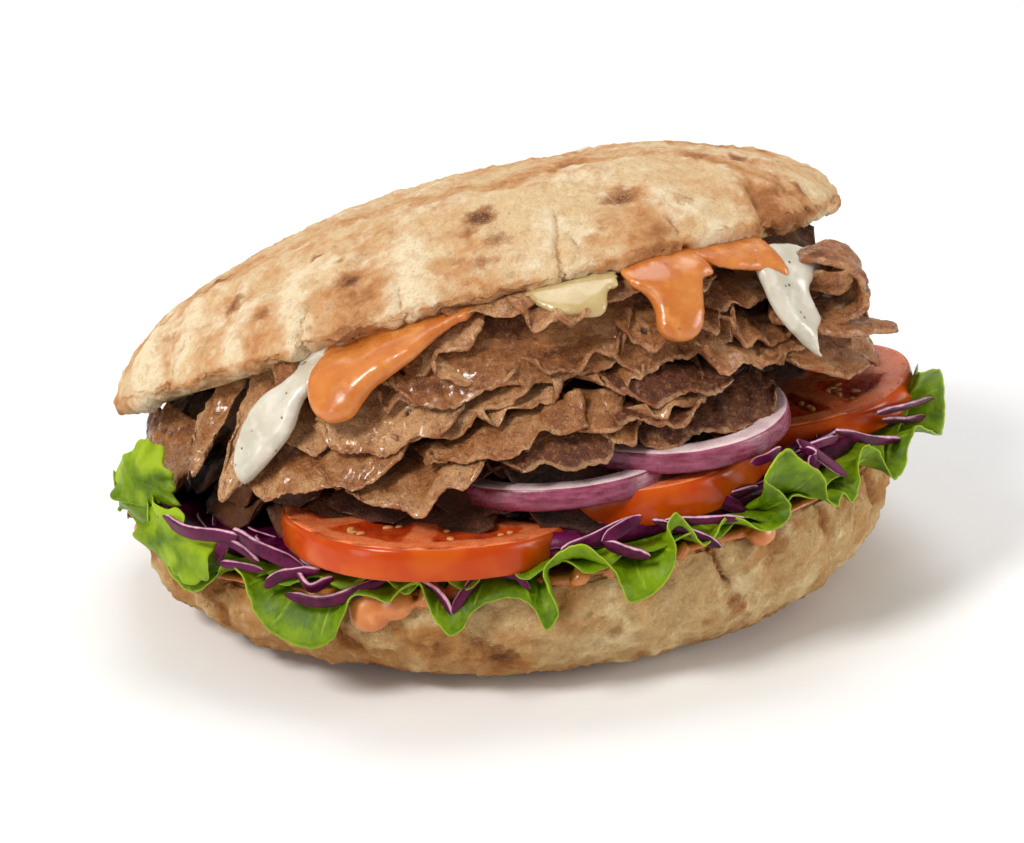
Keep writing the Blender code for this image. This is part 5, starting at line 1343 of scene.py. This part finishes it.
def cabbage():
    rng = np.random.default_rng(77)
    s = Shape()
    for i, (p0, p1, p2, width, thick) in enumerate(SHREDS):
        pts = [rim_point(*np.array(q)) for q in (p0, p1, p2)]
        inner = pts[0] + (pts[0] - pts[1]) * 0.0
        strip(s, pts, 0.72 * width, 0.85 * thick, 0.4 * rng.random(), roll=rng.uniform(-0.1, 0.7), seed=300 + i)
    # the rest of the edge, all round, tucked between the leaves and the filling
    for i in range(170):
        az = rng.uniform(0.0, 360.0)
        shown = 200.0 < az < 348.0
        out0 = rng.uniform(-16.0, -6.0) if shown else rng.uniform(-14.0, -1.0)
        span = rng.uniform(6.0, 16.0)
        rise = [float(cabbage_high(*outline(math.radians(az), 0.97))) - float(rim_z(outline(math.radians(az))[0]))
                + rng.uniform(-2.6, 0.8) for _ in range(3)]
        out1 = out0 + rng.uniform(-1.0, 6.5)
        if shown:
            rise = [r - 2.0 for r in rise]
            out1 = min(out1, -2.0)
        pts = [rim_point(az - 0.5 * span, out0, rise[0]),
               rim_point(az + rng.uniform(-2.0, 2.0), out0 + 0.6 * (out1 - out0) + rng.uniform(-1.5, 2.5), rise[1] + 0.8),
               rim_point(az + 0.5 * span, out1, rise[2] - 0.4 * max(0.0, out1))]
        strip(s, pts, rng.uniform(2.2, 4.2), rng.uniform(1.1, 1.8), rng.random() ** 2, roll=rng.uniform(-0.9, 0.9),
              step=1.5, seed=400 + i, around=8)
    s.build("cabbage_shreds", CABBAGE, "red_cabbage_shred")
    # what lies under them
    cols = 240
    theta = np.linspace(0.0, 2.0 * PI, cols, endpoint=False)
    rings = []
    for rho in (0.05, 0.3, 0.55, 0.75, 0.86, 0.92, 0.945):
        x, y = outline(theta, rho)
        q = np.stack([x, y, cabbage_high(x, y)], -1)
        q[..., 2] += -0.3 - 0.9 * smooth(0.85, 0.95, rho) + 0.7 * fbm(q, 3.5, 3, 301) * (rho > 0.8)
        rings.append(q)
    for rho in (0.955, 0.92, 0.75, 0.5, 0.25, 0.05):
        x, y = outline(theta, rho)
        rings.append(np.stack([x, y, cabbage_low(x, y) + (0.4 if rho > 0.95 else 0.0)], -1))
    c = Shape()
    p = np.stack(rings)
    c.tube(p, rim=0.25 + 0.35 * fbm(p, 2.5, 2, 302), tone=0.0)
    return c.build("cabbage_heap", CABBAGE, "red_cabbage_shred", "red_cabbage")


# ------------------------------------------------------------------ lettuce
# the free edge of the leaves on the open side: azimuth, distance outside the
# rim, height above it
LEAF_FRONT = (
    (196.0, 7.5, 20.0), (198.5, 9.0, 17.0), (203.5, 8.2, 15.2), (206.5, 6.5, 18.0), (207.6, 7.5, 13.0), (206.8, 7.0, 9.0),
    (209.6, 6.6, 4.0), (212.8, 6.6, 0.4), (216.5, 6.6, -1.2), (220.0, 5.4, 2.0), (221.2, 4.4, 5.6), (223.0, 4.6, 6.6),
    (225.8, 5.4, 5.0), (227.3, 6.2, 0.2), (229.5, 7.0, -4.8), (233.2, 7.4, -7.9), (237.0, 7.2, -9.2), (240.0, 6.8, -6.8),
    (241.5, 6.0, -1.1), (242.6, 4.6, 2.2), (245.5, 4.8, 2.0), (247.4, 5.6, 1.2), (249.2, 5.0, 4.4), (251.4, 4.6, 5.2),
    (252.4, 5.2, 1.6), (253.4, 6.0, -3.2), (255.2, 6.2, -6.6), (256.8, 5.6, -5.2), (258.0, 4.6, -2.2), (261.0, 4.2, 0.0),
    (264.2, 4.4, -0.6), (265.9, 5.0, -3.8), (267.1, 6.2, -7.9), (268.6, 6.4, -4.4), (267.6, 5.4, 1.2), (267.0, 5.2, 5.6),
    (268.6, 5.4, 8.8), (271.4, 5.4, 10.4), (273.2, 5.6, 8.8), (275.0, 5.8, 5.2), (276.0, 6.6, 2.2), (276.6, 6.8, -1.4),
    (277.8, 6.4, -4.8), (280.4, 6.4, -3.9), (282.8, 6.2, -0.7), (284.0, 5.8, 4.6), (282.9, 5.4, 10.2), (284.6, 3.6, 11.8),
    (286.6, 3.6, 7.4), (287.9, 4.6, 3.0), (289.6, 4.6, 4.2), (291.6, 4.2, 7.8), (294.0, 5.2, 6.2), (296.5, 6.0, 2.6),
    (299.8, 6.0, 2.4), (301.4, 5.6, 5.6), (299.6, 5.4, 10.0), (296.9, 5.6, 14.0), (297.9, 5.8, 17.2), (300.2, 6.2, 19.4),
    (302.8, 6.4, 15.4), (306.4, 6.6, 10.0), (307.6, 6.6, 4.0), (309.3, 6.6, 1.2), (311.0, 6.2, 3.0), (312.8, 6.6, -0.2),
    (314.6, 6.2, 3.0), (315.2, 5.6, 7.0), (316.8, 5.2, 10.2), (319.8, 5.4, 8.4), (321.6, 6.4, 3.2), (323.2, 7.2, -1.0),
    (325.6, 8.2, 0.6), (327.0, 8.4, 5.0), (329.0, 9.2, 8.4), (333.0, 10.0, 5.0), (340.5, 11.0, -0.8), (345.0, 11.5, 3.6),
    (346.0, 11.0, 9.6), (343.0, 9.4, 14.0), (336.0, 6.5, 16.8), (346.5, 5.0, 13.2))


def leaf_back():
    """The edge's other side: the shown lobes again in another order, turned
    about and flatter where the bread closes over them."""
    front = [q for q in LEAF_FRONT if 208.0 < q[0] < 327.0]
    blocks = [front[2:17], front[17:33], front[33:48], front[48:68]]
    pts = []
    az = 351.0
    for pick, back_to_front, stretch in ((1, False, 1.35), (3, True, 1.0), (0, True, 1.15), (2, False, 1.3), (1, True, 1.2),
                                         (0, False, 1.0)):
        block = blocks[pick][::-1] if back_to_front else blocks[pick]
        first = block[0][0]
        for a0, out, rise in block:
            step = abs(a0 - first) * stretch
            here = az + (a0 - first) * stretch * (-1.0 if back_to_front else 1.0)
            tight = 0.5 if 425.0 < here < 540.0 else 0.8
            pts.append((here, 0.9 * out + 0.6, 1.0 + tight * (rise - 2.0)))
        az = pts[-1][0] + 2.0
        if az > 545.0:
            break
    return [q for q in pts if q[0] < 552.0]


def leaf_sheet(shape, edge_pts, inner_rho, count, lift, seed, closed=True, thick=0.55, sag=0.0):
    edge = spline([rim_point(*np.array(q)) for q in edge_pts], count, closed)
    az_all = np.unwrap(np.radians([q[0] for q in edge_pts]))
    az = np.arctan2(edge[:, 1] / LOAF_B, edge[:, 0] / LOAF_A)
    # the root line runs evenly, so the edge bunches up against it
    order = np.unwrap(az)
    k = max(9, count // 46)
    pad = np.concatenate([order[-k:] - 2.0 * PI, order, order[:k] + 2.0 * PI]) if closed \
        else np.concatenate([np.full(k, order[0]), order, np.full(k, order[-1])])
    ker = np.hanning(2 * k + 1)
    root_az = np.convolve(pad, ker / ker.sum(), "valid")
    rows = 15
    v = np.linspace(0.0, 1.0, rows)[:, None]
    x0, y0 = outline(root_az, inner_rho)
    p0 = np.stack([x0, y0, lettuce_low(x0, y0) + 0.7 + lift], -1)
    p1 = rim_point(np.degrees(root_az), 0.6, 3.7 + lift)
    mid_az = 0.45 * root_az + 0.55 * order
    e_out = np.hypot(*(edge[:, :2]).T) - np.hypot(*(rim_point(np.degrees(order), 0.0, 0.0)[:, :2]).T)
    e_rise = edge[:, 2] - rim_point(np.degrees(order), 0.0, 0.0)[:, 2]
    p2 = rim_point(np.degrees(mid_az), np.maximum(1.8, 0.62 * e_out + 0.6), 3.2 + lift + 0.45 * (e_rise - 3.0))
    a, b, c, d = (1 - v) ** 3, 3 * (1 - v) ** 2 * v, 3 * (1 - v) * v ** 2, v ** 3
    p = (a[..., None] * p0 + b[..., None] * p1 + c[..., None] * p2 + d[..., None] * edge)
    s_len = np.concatenate([[0.0], np.cumsum(np.linalg.norm(np.diff(edge, axis=0), axis=1))])
    key = p * 1.0
    frill = 0.35 * fbm(key, 7.0, 2, seed) + 0.18 * fbm(key, 3.0, 2, seed + 1)
    n = normals(p, closed)
    p = p + n * (frill * smooth(0.15, 0.6, v))[..., None]
    # fine teeth along the edge
    teeth = 0.35 * line_noise(s_len, 3.2, seed + 2) + 0.22 * line_noise(s_len, 1.2, seed + 3)
    p = p + (edge - p2)[None] / np.maximum(1.0, np.linalg.norm(edge - p2, axis=1))[None, :, None] \
        * (teeth[None] * v ** 6)[..., None]
    # veins: ribs that run out from the root and fork, puckering the leaf
    col = np.broadcast_to(s_len[None], p.shape[:2])
    warp = col + 2.2 * fbm(key, 9.0, 2, seed + 4) * (0.4 + v)
    rib = np.abs((warp / 13.0) % 1.0 - 0.5) * 13.0
    fork = np.abs(((warp + 6.0 * v * np.sign((warp / 13.0) % 1.0 - 0.5)) / 5.2) % 1.0 - 0.5) * 5.2
    vein = np.maximum(np.exp(-(rib / 0.55) ** 2) * smooth(1.0, 0.8, v), 0.75 * np.exp(-(fork / 0.34) ** 2) * smooth(1.0, 0.7, v))
    net, _ = cells(np.stack([warp, v * 18.0 + 0.0 * warp, 0.0 * warp + 0.5], -1), 3.4, seed + 5)
    vein = np.maximum(vein, 0.55 * smooth(0.52, 0.75, net))
    n = normals(p, closed)
    p = p + n * (0.22 * smooth(0.35, 0.75, net) * 0.0 - 0.28 * vein)[..., None]
    t = 0.5 * thick * np.ones(p.shape[:2])
    t[0] = t[-1] = 0.0
    rim = np.broadcast_to(smooth(0.93, 1.0, v), p.shape[:2])
    tone = 0.25 + 0.5 * smooth(0.35, 0.0, v) + 0.35 * fbm(key, 16.0, 2, seed + 6)
    (shape.strip_loop if closed else shape.pillow)(p, n, t, t, vein=vein, rim=rim, tone=tone + 0.0 * col)


def lettuce():
    s = Shape()
    pts = list(LEAF_FRONT) + leaf_back()
    leaf_sheet(s, pts, 0.80, 1450, 0.0, 501)
    s.build("lettuce_leaves", LETTUCE, "lettuce_leaf", "lettuce")
    s = Shape()
    rng = np.random.default_rng(66)
    pts2 = []
    az, k = 3.0, 0
    while az < 361.0:
        swing = 1.0 if k % 2 else -1.0
        pts2.append((az, rng.uniform(1.6, 4.0), 4.4 + swing * rng.uniform(0.5, 2.6)))
        az += rng.uniform(3.0, 5.2)
        k += 1
    leaf_sheet(s, pts2, 0.80, 520, 1.2, 551)
    s.build("lettuce_inner_leaves", LETTUCE, "lettuce_leaf")


def leaf_patch(shape, middle, border, seed, thick=0.6, rings=22, around=110, dome=1.2):
    """A small leaf end: a loop of points, pulled in to a middle one."""
    edge = spline([rim_point(*np.array(q)) for q in border], around, True)
    centre = rim_point(*np.array(middle))
    ring = np.linspace(0.0, 2.0 * PI, around, endpoint=False)
    ring = np.stack([9.5 * np.cos(ring), 9.5 * np.sin(ring), np.full(around, 2.7 * seed)], -1)
    k = np.linspace(0.03, 1.0, rings)[:, None]
    rag = 1.0 + 0.20 * noise(ring, 5.0, seed) + 0.12 * noise(ring, 1.9, seed + 1)
    p = centre + (edge - centre)[None] * (k * (1.0 + (rag[None] - 1.0) * k))[..., None]
    n = normals(p, True)
    n *= np.sign((n[..., :1] * p[..., :1] + n[..., 1:2] * p[..., 1:2]) + 1e-9)
    wave = 0.9 * fbm(p, 9.0, 2, seed + 2) + 0.5 * fbm(p, 4.0, 2, seed + 3) + dome * (1.0 - k * k)
    wave = wave + (3.6 * noise(ring, 7.0, seed + 9) + 1.4 * noise(ring, 3.0, seed + 10))[None] * k ** 2.5
    p = p + n * wave[..., None]
    net, _ = cells(p, 4.2, seed + 5)
    ang = np.arange(around) / around * 2.0 * PI
    spoke = np.abs(((ang[None] + 0.25 * fbm(p, 8.0, 2, seed + 6)) * 7.0 / (2.0 * PI)) % 1.0 - 0.5) * k * 9.0
    vein = np.maximum(0.45 * np.exp(-(spoke / 0.30) ** 2) * smooth(1.0, 0.75, k), 0.6 * smooth(0.52, 0.76, net))
    p = p - n * (0.2 * vein)[..., None]
    n = normals(p, True)
    n *= np.sign((n[..., :1] * p[..., :1] + n[..., 1:2] * p[..., 1:2]) + 1e-9)
    body = np.sqrt(np.clip((1.0 - k) * 14.0, 0.0, 1.0)) * np.ones(p.shape[:2])
    t = 0.5 * thick * body
    r, c = p.shape[:2]
    up, low = p + n * t[..., None], (p - n * t[..., None])[:-1]
    pts = np.concatenate([up.reshape(-1, 3), low.reshape(-1, 3), [up[0].mean(0)], [low[0].mean(0)]])
    i = np.arange(r * c).reshape(r, c)
    j = np.concatenate([r * c + np.arange((r - 1) * c).reshape(r - 1, c), i[-1:]])
    def quads(a):
        b = np.roll(a, -1, 1)
        return np.stack([a[:-1], b[:-1], b[1:], a[1:]], -1).reshape(-1, 4)
    top_c, low_c = len(pts) - 2, len(pts) - 1
    fan = np.stack([np.full(c, top_c), np.roll(i[0], -1), i[0]], -1)
    fan2 = np.stack([np.full(c, low_c), j[0], np.roll(j[0], -1)], -1)
    val = lambda v: np.concatenate([v.reshape(-1), v[:-1].reshape(-1), [v[0].mean()], [v[0].mean()]])
    rim = np.broadcast_to(smooth(0.95, 1.0, k), p.shape[:2])
    # darker towards the middle: painted shade in the leaf's fold
    tone = 0.66 + 0.6 * fbm(p, 7.0, 2, seed + 7) - 0.3 * smooth(0.5, 0.0, k)
    shape.add(pts, np.concatenate([quads(i), quads(j)[:, ::-1]]), np.concatenate([fan, fan2]),
              vein=val(vein), rim=val(rim), tone=val(tone))


def left_end():
    """The leaf and the bits that stick out at the closed left end."""
    s = Shape()
    leaf_patch(s, (203.5, 6.5, 21.5), ((211.5, 3.0, 20.0), (209.8, 4.0, 25.1), (207.3, 5.0, 29.9), (204.5, 6.0, 29.4), (202.0, 7.4, 26.6),
                                       (199.2, 9.0, 21.3), (199.6, 9.0, 17.2), (202.5, 8.6, 15.6), (205.5, 7.6, 15.8),
                                       (208.5, 6.0, 17.0), (211.0, 4.5, 17.5)), 901)
    leaf_patch(s, (213.0, 6.0, 11.0), ((205.8, 7.0, 15.5), (210.0, 6.4, 18.0), (215.0, 5.6, 16.5), (219.5, 4.6, 14.5), (221.5, 4.2, 10.0),
                                       (219.5, 5.4, 5.0), (216.0, 6.2, 2.0), (212.0, 6.6, 3.0), (208.0, 7.0, 6.5),
                                       (205.4, 7.4, 11.0)), 911)
    s.build("lettuce_left_leaves", LETTUCE, "lettuce_leaf")


# ------------------------------------------------------------------ sauces
# each lies inside an outline on the filling's face, whose corners give azimuth
# and height; a height under 40 counts from the upper bread's edge.  Then the
# thickness, how far out it starts at that edge and how much farther it swells.
SAUCES = (
    ("sauce_white_left", WHITE, "yoghurt_sauce", 4.6, 2.6, 7.4, (
        (224.6, 3.0), (225.2, 66.8), (221.8, 62.2), (220.0, 56.8), (219.2, 50.0), (220.3, 45.5), (222.2, 43.2), (224.0, 45.5),
        (227.5, 52.0), (229.2, 56.8), (229.8, 62.0), (231.5, 66.5), (233.0, 70.0), (233.5, 3.0))),
    ("sauce_orange_left", ORANGE, "cocktail_sauce", 5.4, 2.6, 9.6, (
        (229.8, 3.0), (229.6, 70.0), (230.5, 64.8), (232.0, 61.0), (234.2, 58.5), (237.0, 57.8), (239.6, 59.2),
        (240.8, 62.2), (242.2, 65.0), (244.8, 67.8), (248.0, 71.0), (251.2, 75.0), (254.5, 77.8), (256.6, 79.0), (259.0, 2.8),
        (250.0, 3.6), (240.0, 3.6))),
    ("sauce_cream_middle", CREAM, "garlic_cream", 3.4, 3.0, 9.4, (
        (264.6, 3.0), (265.6, 84.6), (268.2, 80.8), (271.0, 78.5), (274.5, 77.2), (279.0, 76.6), (280.8, 78.0), (281.8, 81.2),
        (284.6, 82.8), (285.8, 3.0), (275.0, 3.6))),
    ("sauce_orange_middle", ORANGE, "cocktail_sauce", 5.0, 3.0, 9.0, (
        (285.4, 3.0), (285.8, 86.0), (286.8, 82.2), (289.0, 79.8), (289.6, 77.0), (288.9, 73.0), (289.8, 70.8), (291.8, 69.6),
        (294.4, 69.8), (296.6, 71.8), (298.4, 76.8), (300.4, 80.8), (303.8, 81.2), (302.8, 83.2), (302.4, 3.0), (294.0, 3.6))),
    ("sauce_orange_right", ORANGE, "cocktail_sauce", 3.8, 3.0, 10.2, (
        (300.8, 2.8), (301.5, 86.0), (304.8, 82.4), (308.8, 80.8), (312.5, 79.6), (315.2, 77.6), (316.9, 76.0), (317.6, 78.4),
        (318.6, 82.4), (320.4, 86.5), (321.0, 3.0), (310.0, 3.6))),
    ("sauce_white_right", WHITE, "yoghurt_sauce", 4.4, 3.0, 9.6, (
        (313.6, 85.0), (319.0, 84.8), (324.4, 83.4), (327.0, 80.0), (327.0, 76.4), (323.4, 74.6), (320.6, 73.0), (320.3, 69.8),
        (320.0, 66.2), (317.4, 64.2), (316.8, 61.8), (317.2, 59.4), (315.6, 60.6), (313.8, 64.5), (312.0, 68.8), (311.6, 73.0),
        (311.8, 76.8), (312.4, 81.0))),
)


def under_edge(az):
    """The height of the upper bread's edge, as the filling lifts it."""
    return top_rim_at(np.radians(az), 0.97)[..., 2] + 0.9 * raised_edge(az)


def sauce_run(name, mat, slot, thick, start, swell, outline_pts, seed):
    """Many small balls that fill the outline and melt into one body."""
    q = np.array(outline_pts, float)
    q[:, 1] = np.where(q[:, 1] < 40.0, under_edge(q[:, 0]) + q[:, 1], q[:, 1])
    per_deg = 1.44
    q[:, 0] *= per_deg
    edge = spline(q, 14 * len(q), True)
    step = 0.9
    lo, hi = edge.min(0), edge.max(0)
    gx, gz = np.meshgrid(np.arange(lo[0], hi[0], step), np.arange(lo[1], hi[1], step))
    g = np.stack([gx.ravel(), gz.ravel()], -1)
    a, b = edge, np.roll(edge, -1, 0)
    ab = b - a
    k = np.clip(((g[:, None] - a) * ab).sum(-1) / np.maximum((ab * ab).sum(-1), 1e-9), 0.0, 1.0)
    d = np.sqrt((((g[:, None] - a) - k[..., None] * ab) ** 2).sum(-1)).min(1)
    with np.errstate(divide="ignore", invalid="ignore"):
        cross = ((a[:, 1] > g[:, None, 1]) != (b[:, 1] > g[:, None, 1])) & (
            g[:, None, 0] < a[:, 0] + ab[:, 0] * (g[:, None, 1] - a[:, 1]) / ab[:, 1])
    keep = (cross.sum(1) % 2 == 1) & (d > 0.5)
    g, d = g[keep], d[keep]
    az, z = g[:, 0] / per_deg, g[:, 1]
    depth = under_edge(az) - z
    off = start + swell * (1.0 - np.exp(-np.maximum(0.0, depth) / 4.6))
    key = np.stack([g[:, 0], g[:, 1], np.full(len(g), 3.1 * seed)], -1)
    off = off + 0.9 * fbm(key, 11.0, 2, seed)
    most = 0.5 * thick * (0.42 + 0.58 * smooth(1.5, 11.5, depth)) * (1.0 + 0.3 * fbm(key, 7.0, 2, seed + 3))
    r = np.minimum(most, d * 1.05)
    th = np.radians(az)
    ax, out, up = heap_axes(th, z)
    c = heap_point(th, z) + out * off[:, None]
    v = np.linspace(0.0, PI, 7)[1:-1]
    w = np.linspace(0.0, 2.0 * PI, 9, endpoint=False)
    V, W = np.meshgrid(v, w, indexing="ij")
    ball = np.stack([np.sin(V) * np.cos(W), np.sin(V) * np.sin(W), np.cos(V)], -1)
    rows, around = V.shape
    n = len(c)
    pts = np.concatenate([(c[:, None, None] + ball * r[:, None, None, None]).reshape(n, -1, 3),
                          (c + r[:, None] * np.array([0.0, 0.0, 1.0]))[:, None],
                          (c - r[:, None] * np.array([0.0, 0.0, 1.0]))[:, None]], 1)
    i = np.arange(rows * around).reshape(rows, around)
    j = np.roll(i, -1, 1)
    quads = np.stack([i[:-1], i[1:], j[1:], j[:-1]], -1).reshape(-1, 4)
    top = np.stack([i[0], j[0], np.full(around, rows * around)], -1)
    low = np.stack([j[-1], i[-1], np.full(around, rows * around + 1)], -1)
    each = pts.shape[1]
    base = (np.arange(n) * each)[:, None, None]
    s = Shape()
    s.add(pts, (quads[None] + base).reshape(-1, 4), (np.concatenate([top, low])[None] + base).reshape(-1, 3))
    return melt(s.build("run_" + name[6:], mat, slot, name), 0.48, 9)


# runs over the lower rim: azimuth, drift in degrees, half width, how far they
# fall below the rim and thickness
DRIPS = ((-117.2, 1.2, 5.2, 12.4, 4.4), (-113.4, 1.0, 4.8, 9.4, 4.0), (-109.6, 2.0, 4.6, 6.6, 3.6), (-105.6, 1.0, 4.0, 5.6, 3.2),
         (-113.5, 0.5, 8.0, 5.0, 3.4), (-88.8, 1.0, 3.6, 5.2, 3.4),
         (-84.0, 1.0, 3.0, 3.4, 2.8), (-74.0, 1.0, 2.8, 3.2, 2.8), (-61.6, 0.5, 4.0, 7.4, 4.2), (20.0, 1.0, 4.0, 5.6, 3.2),
         (52.0, 2.0, 3.0, 4.4, 2.8), (95.0, -1.0, 4.6, 6.6, 3.6), (150.0, 1.5, 4.0, 7.0, 3.4), (186.0, 1.0, 3.6, 5.6, 3.2))


def spread():
    """The sauce on the lower cut face, with the runs that went over the rim."""
    cols, rows = 440, 13
    theta = np.linspace(0.0, 2.0 * PI, cols, endpoint=False)
    deg = np.degrees(theta)
    reach = 1.2 + 1.1 * line_noise(deg * 1.5, 9.0, 601) + 0.5 * line_noise(deg * 1.5, 3.5, 602)
    s_in = -16.0
    v = np.linspace(0.0, 1.0, rows) ** 0.8
    S = s_in + (reach[None] - s_in) * v[:, None]
    x0, y0 = outline(theta, 0.988)
    n2 = unit(np.stack([x0, y0], -1))
    out = np.minimum(S, 0.9 * S)
    x = x0[None] + n2[None, :, 0] * out
    y = y0[None] + n2[None, :, 1] * out
    base = np.where(S < 0.0, cut_z(x, y) + 0.6, rim_z(x0)[None] + 0.6 - 0.28 * S * S)
    mid = np.stack([x, y, base], -1)
    nrm = normals(mid, True)
    nrm *= np.sign(nrm[..., 2:3] + 1e-9)
    tail = np.clip((reach[None] - S) / 1.3, 0.0, 1.0)
    body = np.sqrt(np.maximum(0.0, 1.0 - (1.0 - tail) ** 2))
    above = 0.75 * body * smooth(s_in, s_in + 3.0, S) * (1.0 + 0.25 * fbm(mid, 5.0, 2, 603))
    below = 0.7 * body * smooth(s_in, s_in + 2.0, S)
    above[0] = above[-1] = below[0] = below[-1] = 0.0
    s = Shape()
    s.strip_loop(mid, nrm, np.maximum(above, 0.0), below)
    s.build("sauce_layer", ORANGE, "cocktail_sauce", "sauce_spread")
    s = Shape()
    for i, (az, drift, half, fall, thick) in enumerate(DRIPS):
        k = np.linspace(0.0, 1.0, 34)
        d = -3.5 + (fall - 0.9 * half + 3.5) * k          # path: inside the rim, then down
        a = np.radians(az + drift * k)
        x, y = outline(a, 1.0)
        n2 = unit(np.stack([x, y], -1))
        o = np.where(d < 0.0, d, 1.5 * np.sin(np.clip(d / 2.6, 0.0, 1.0) * PI / 2.0) + 0.02 * np.maximum(0.0, d - 2.6))
        z = rim_z(x) + 0.6 - np.where(d < 0.0, 0.0, np.where(d < 2.6, 2.6 * (1.0 - np.cos(np.clip(d / 2.6, 0, 1) * PI / 2.0)), d))
        c = np.stack([x + n2[:, 0] * o, y + n2[:, 1] * o, z], -1)
        outw = unit(np.stack([n2[:, 0], n2[:, 1], np.clip(1.2 - 0.45 * (d + 3.0), 0.05, 1.5)], -1))
        wide = half * (1.25 - 0.35 * smooth(0.0, 0.5, k) + 0.12 * smooth(0.55, 0.95, k))
        run_tube(s, c, wide, thick * (0.75 + 0.35 * smooth(0.3, 0.9, k)), outw, 640 + i)
    return melt(s.build("sauce_drips", ORANGE, "cocktail_sauce"), 0.55, 7)


# ------------------------------------------------------------------ run
upper_bread()
lower_bread()
meat()
for i, spec in enumerate(TOMATOES):
    tomato(i + 1, spec)
for i, spec in enumerate(ONIONS):
    onion(i + 1, spec)
cabbage()
lettuce()
left_end()
spread()
for i, row in enumerate(SAUCES):
    sauce_run(*row, 800 + 9 * i)

# ------------------------------------------------------------------ stage, light, camera
scene = bpy.context.scene


def stage_material():
    m = Mat("pale_floor", Roughness=0.65, Specular_IOR_Level=0.3)
    c = m.mix(m.ramp(m.noise(60.0, 3.0, 0.5), 0.3, 0.7), (0.89, 0.89, 0.89, 1.0), (0.91, 0.91, 0.91, 1.0))
    return m.out(c)


def make_stage():
    """A floor that curves up into a backdrop a long way behind."""
    prof = [(-3.0, 0.0), (1.2, 0.0), (1.7, 0.1), (2.0, 0.4), (2.1, 1.0), (2.1, 3.0)]
    verts, faces = [], []
    for y, z in prof:
        verts += [(-4.0, y, z - 0.0002), (4.0, y, z - 0.0002)]
    for i in range(len(prof) - 1):
        a = 2 * i
        faces.append((a, a + 1, a + 3, a + 2))
    mesh = bpy.data.meshes.new("floor")
    mesh.from_pydata(verts, [], faces)
    for poly in mesh.polygons:
        poly.use_smooth = True
    mesh.materials.append(stage_material())
    obj = bpy.data.objects.new("floor", mesh)
    scene.collection.objects.link(obj)


def area(name, loc, target, size, power, colour=(1.0, 1.0, 1.0)):
    data = bpy.data.lights.new(name, "AREA")
    data.shape = "DISK"
    data.size = size
    data.energy = power
    data.color = colour
    obj = bpy.data.objects.new(name, data)
    obj.location = loc
    obj.rotation_mode = "QUATERNION"
    obj.rotation_quaternion = (Vector(target) - Vector(loc)).to_track_quat("-Z", "Y")
    scene.collection.objects.link(obj)


make_stage()
area("key", (-0.75, -0.62, 0.95), (0.0, 0.0, 0.05), 0.40, 12.4, (1.0, 0.975, 0.94))
area("fill", (1.20, -0.48, 0.34), (0.02, 0.0, 0.045), 0.7, 4.7, (1.0, 0.98, 0.95))
area("right", (0.62, -0.20, 0.15), (0.07, -0.03, 0.03), 0.25, 0.70, (1.0, 0.98, 0.95))
area("left", (-1.10, -0.62, 0.26), (-0.05, -0.02, 0.035), 0.45, 2.1, (1.0, 0.98, 0.95))
area("backdrop", (0.0, 1.0, 0.95), (0.0, 1.55, 0.0), 1.2, 6.0)
area("top", (0.05, 0.35, 1.15), (0.0, 0.0, 0.05), 0.8, 5.0)
world = bpy.data.worlds.new("studio")
world.use_nodes = True
world.node_tree.nodes["Background"].inputs["Color"].default_value = (1.0, 1.0, 1.0, 1.0)
world.node_tree.nodes["Background"].inputs["Strength"].default_value = 0.36
scene.world = world
scene.view_settings.view_transform = "Standard"

cam_data = bpy.data.cameras.new("camera")
cam = bpy.data.objects.new("camera", cam_data)
scene.collection.objects.link(cam)
ELEVATION, AZIMUTH, ROLL, DISTANCE = 19.0, -6.0, -2.5, 583.0
el, azi, rol = (math.radians(v) for v in (ELEVATION, AZIMUTH, ROLL))
back = Vector((math.sin(azi) * math.cos(el), -math.cos(azi) * math.cos(el), math.sin(el)))
eye = Vector((-0.9, 0.0, 36.7)) + back * DISTANCE
rgt = (-back).cross(Vector((0.0, 0.0, 1.0))).normalized()
upv = rgt.cross(-back)
c_, s_ = math.cos(rol), math.sin(rol)
r2, u2 = rgt * c_ + upv * s_, upv * c_ - rgt * s_
cam.matrix_world = Matrix(((r2.x, u2.x, back.x, eye.x * MM), (r2.y, u2.y, back.y, eye.y * MM),
                           (r2.z, u2.z, back.z, eye.z * MM), (0.0, 0.0, 0.0, 1.0)))
cam_data.lens = 85.0
cam_data.sensor_width = 36.0
cam_data.clip_start = 0.01
scene.camera = cam
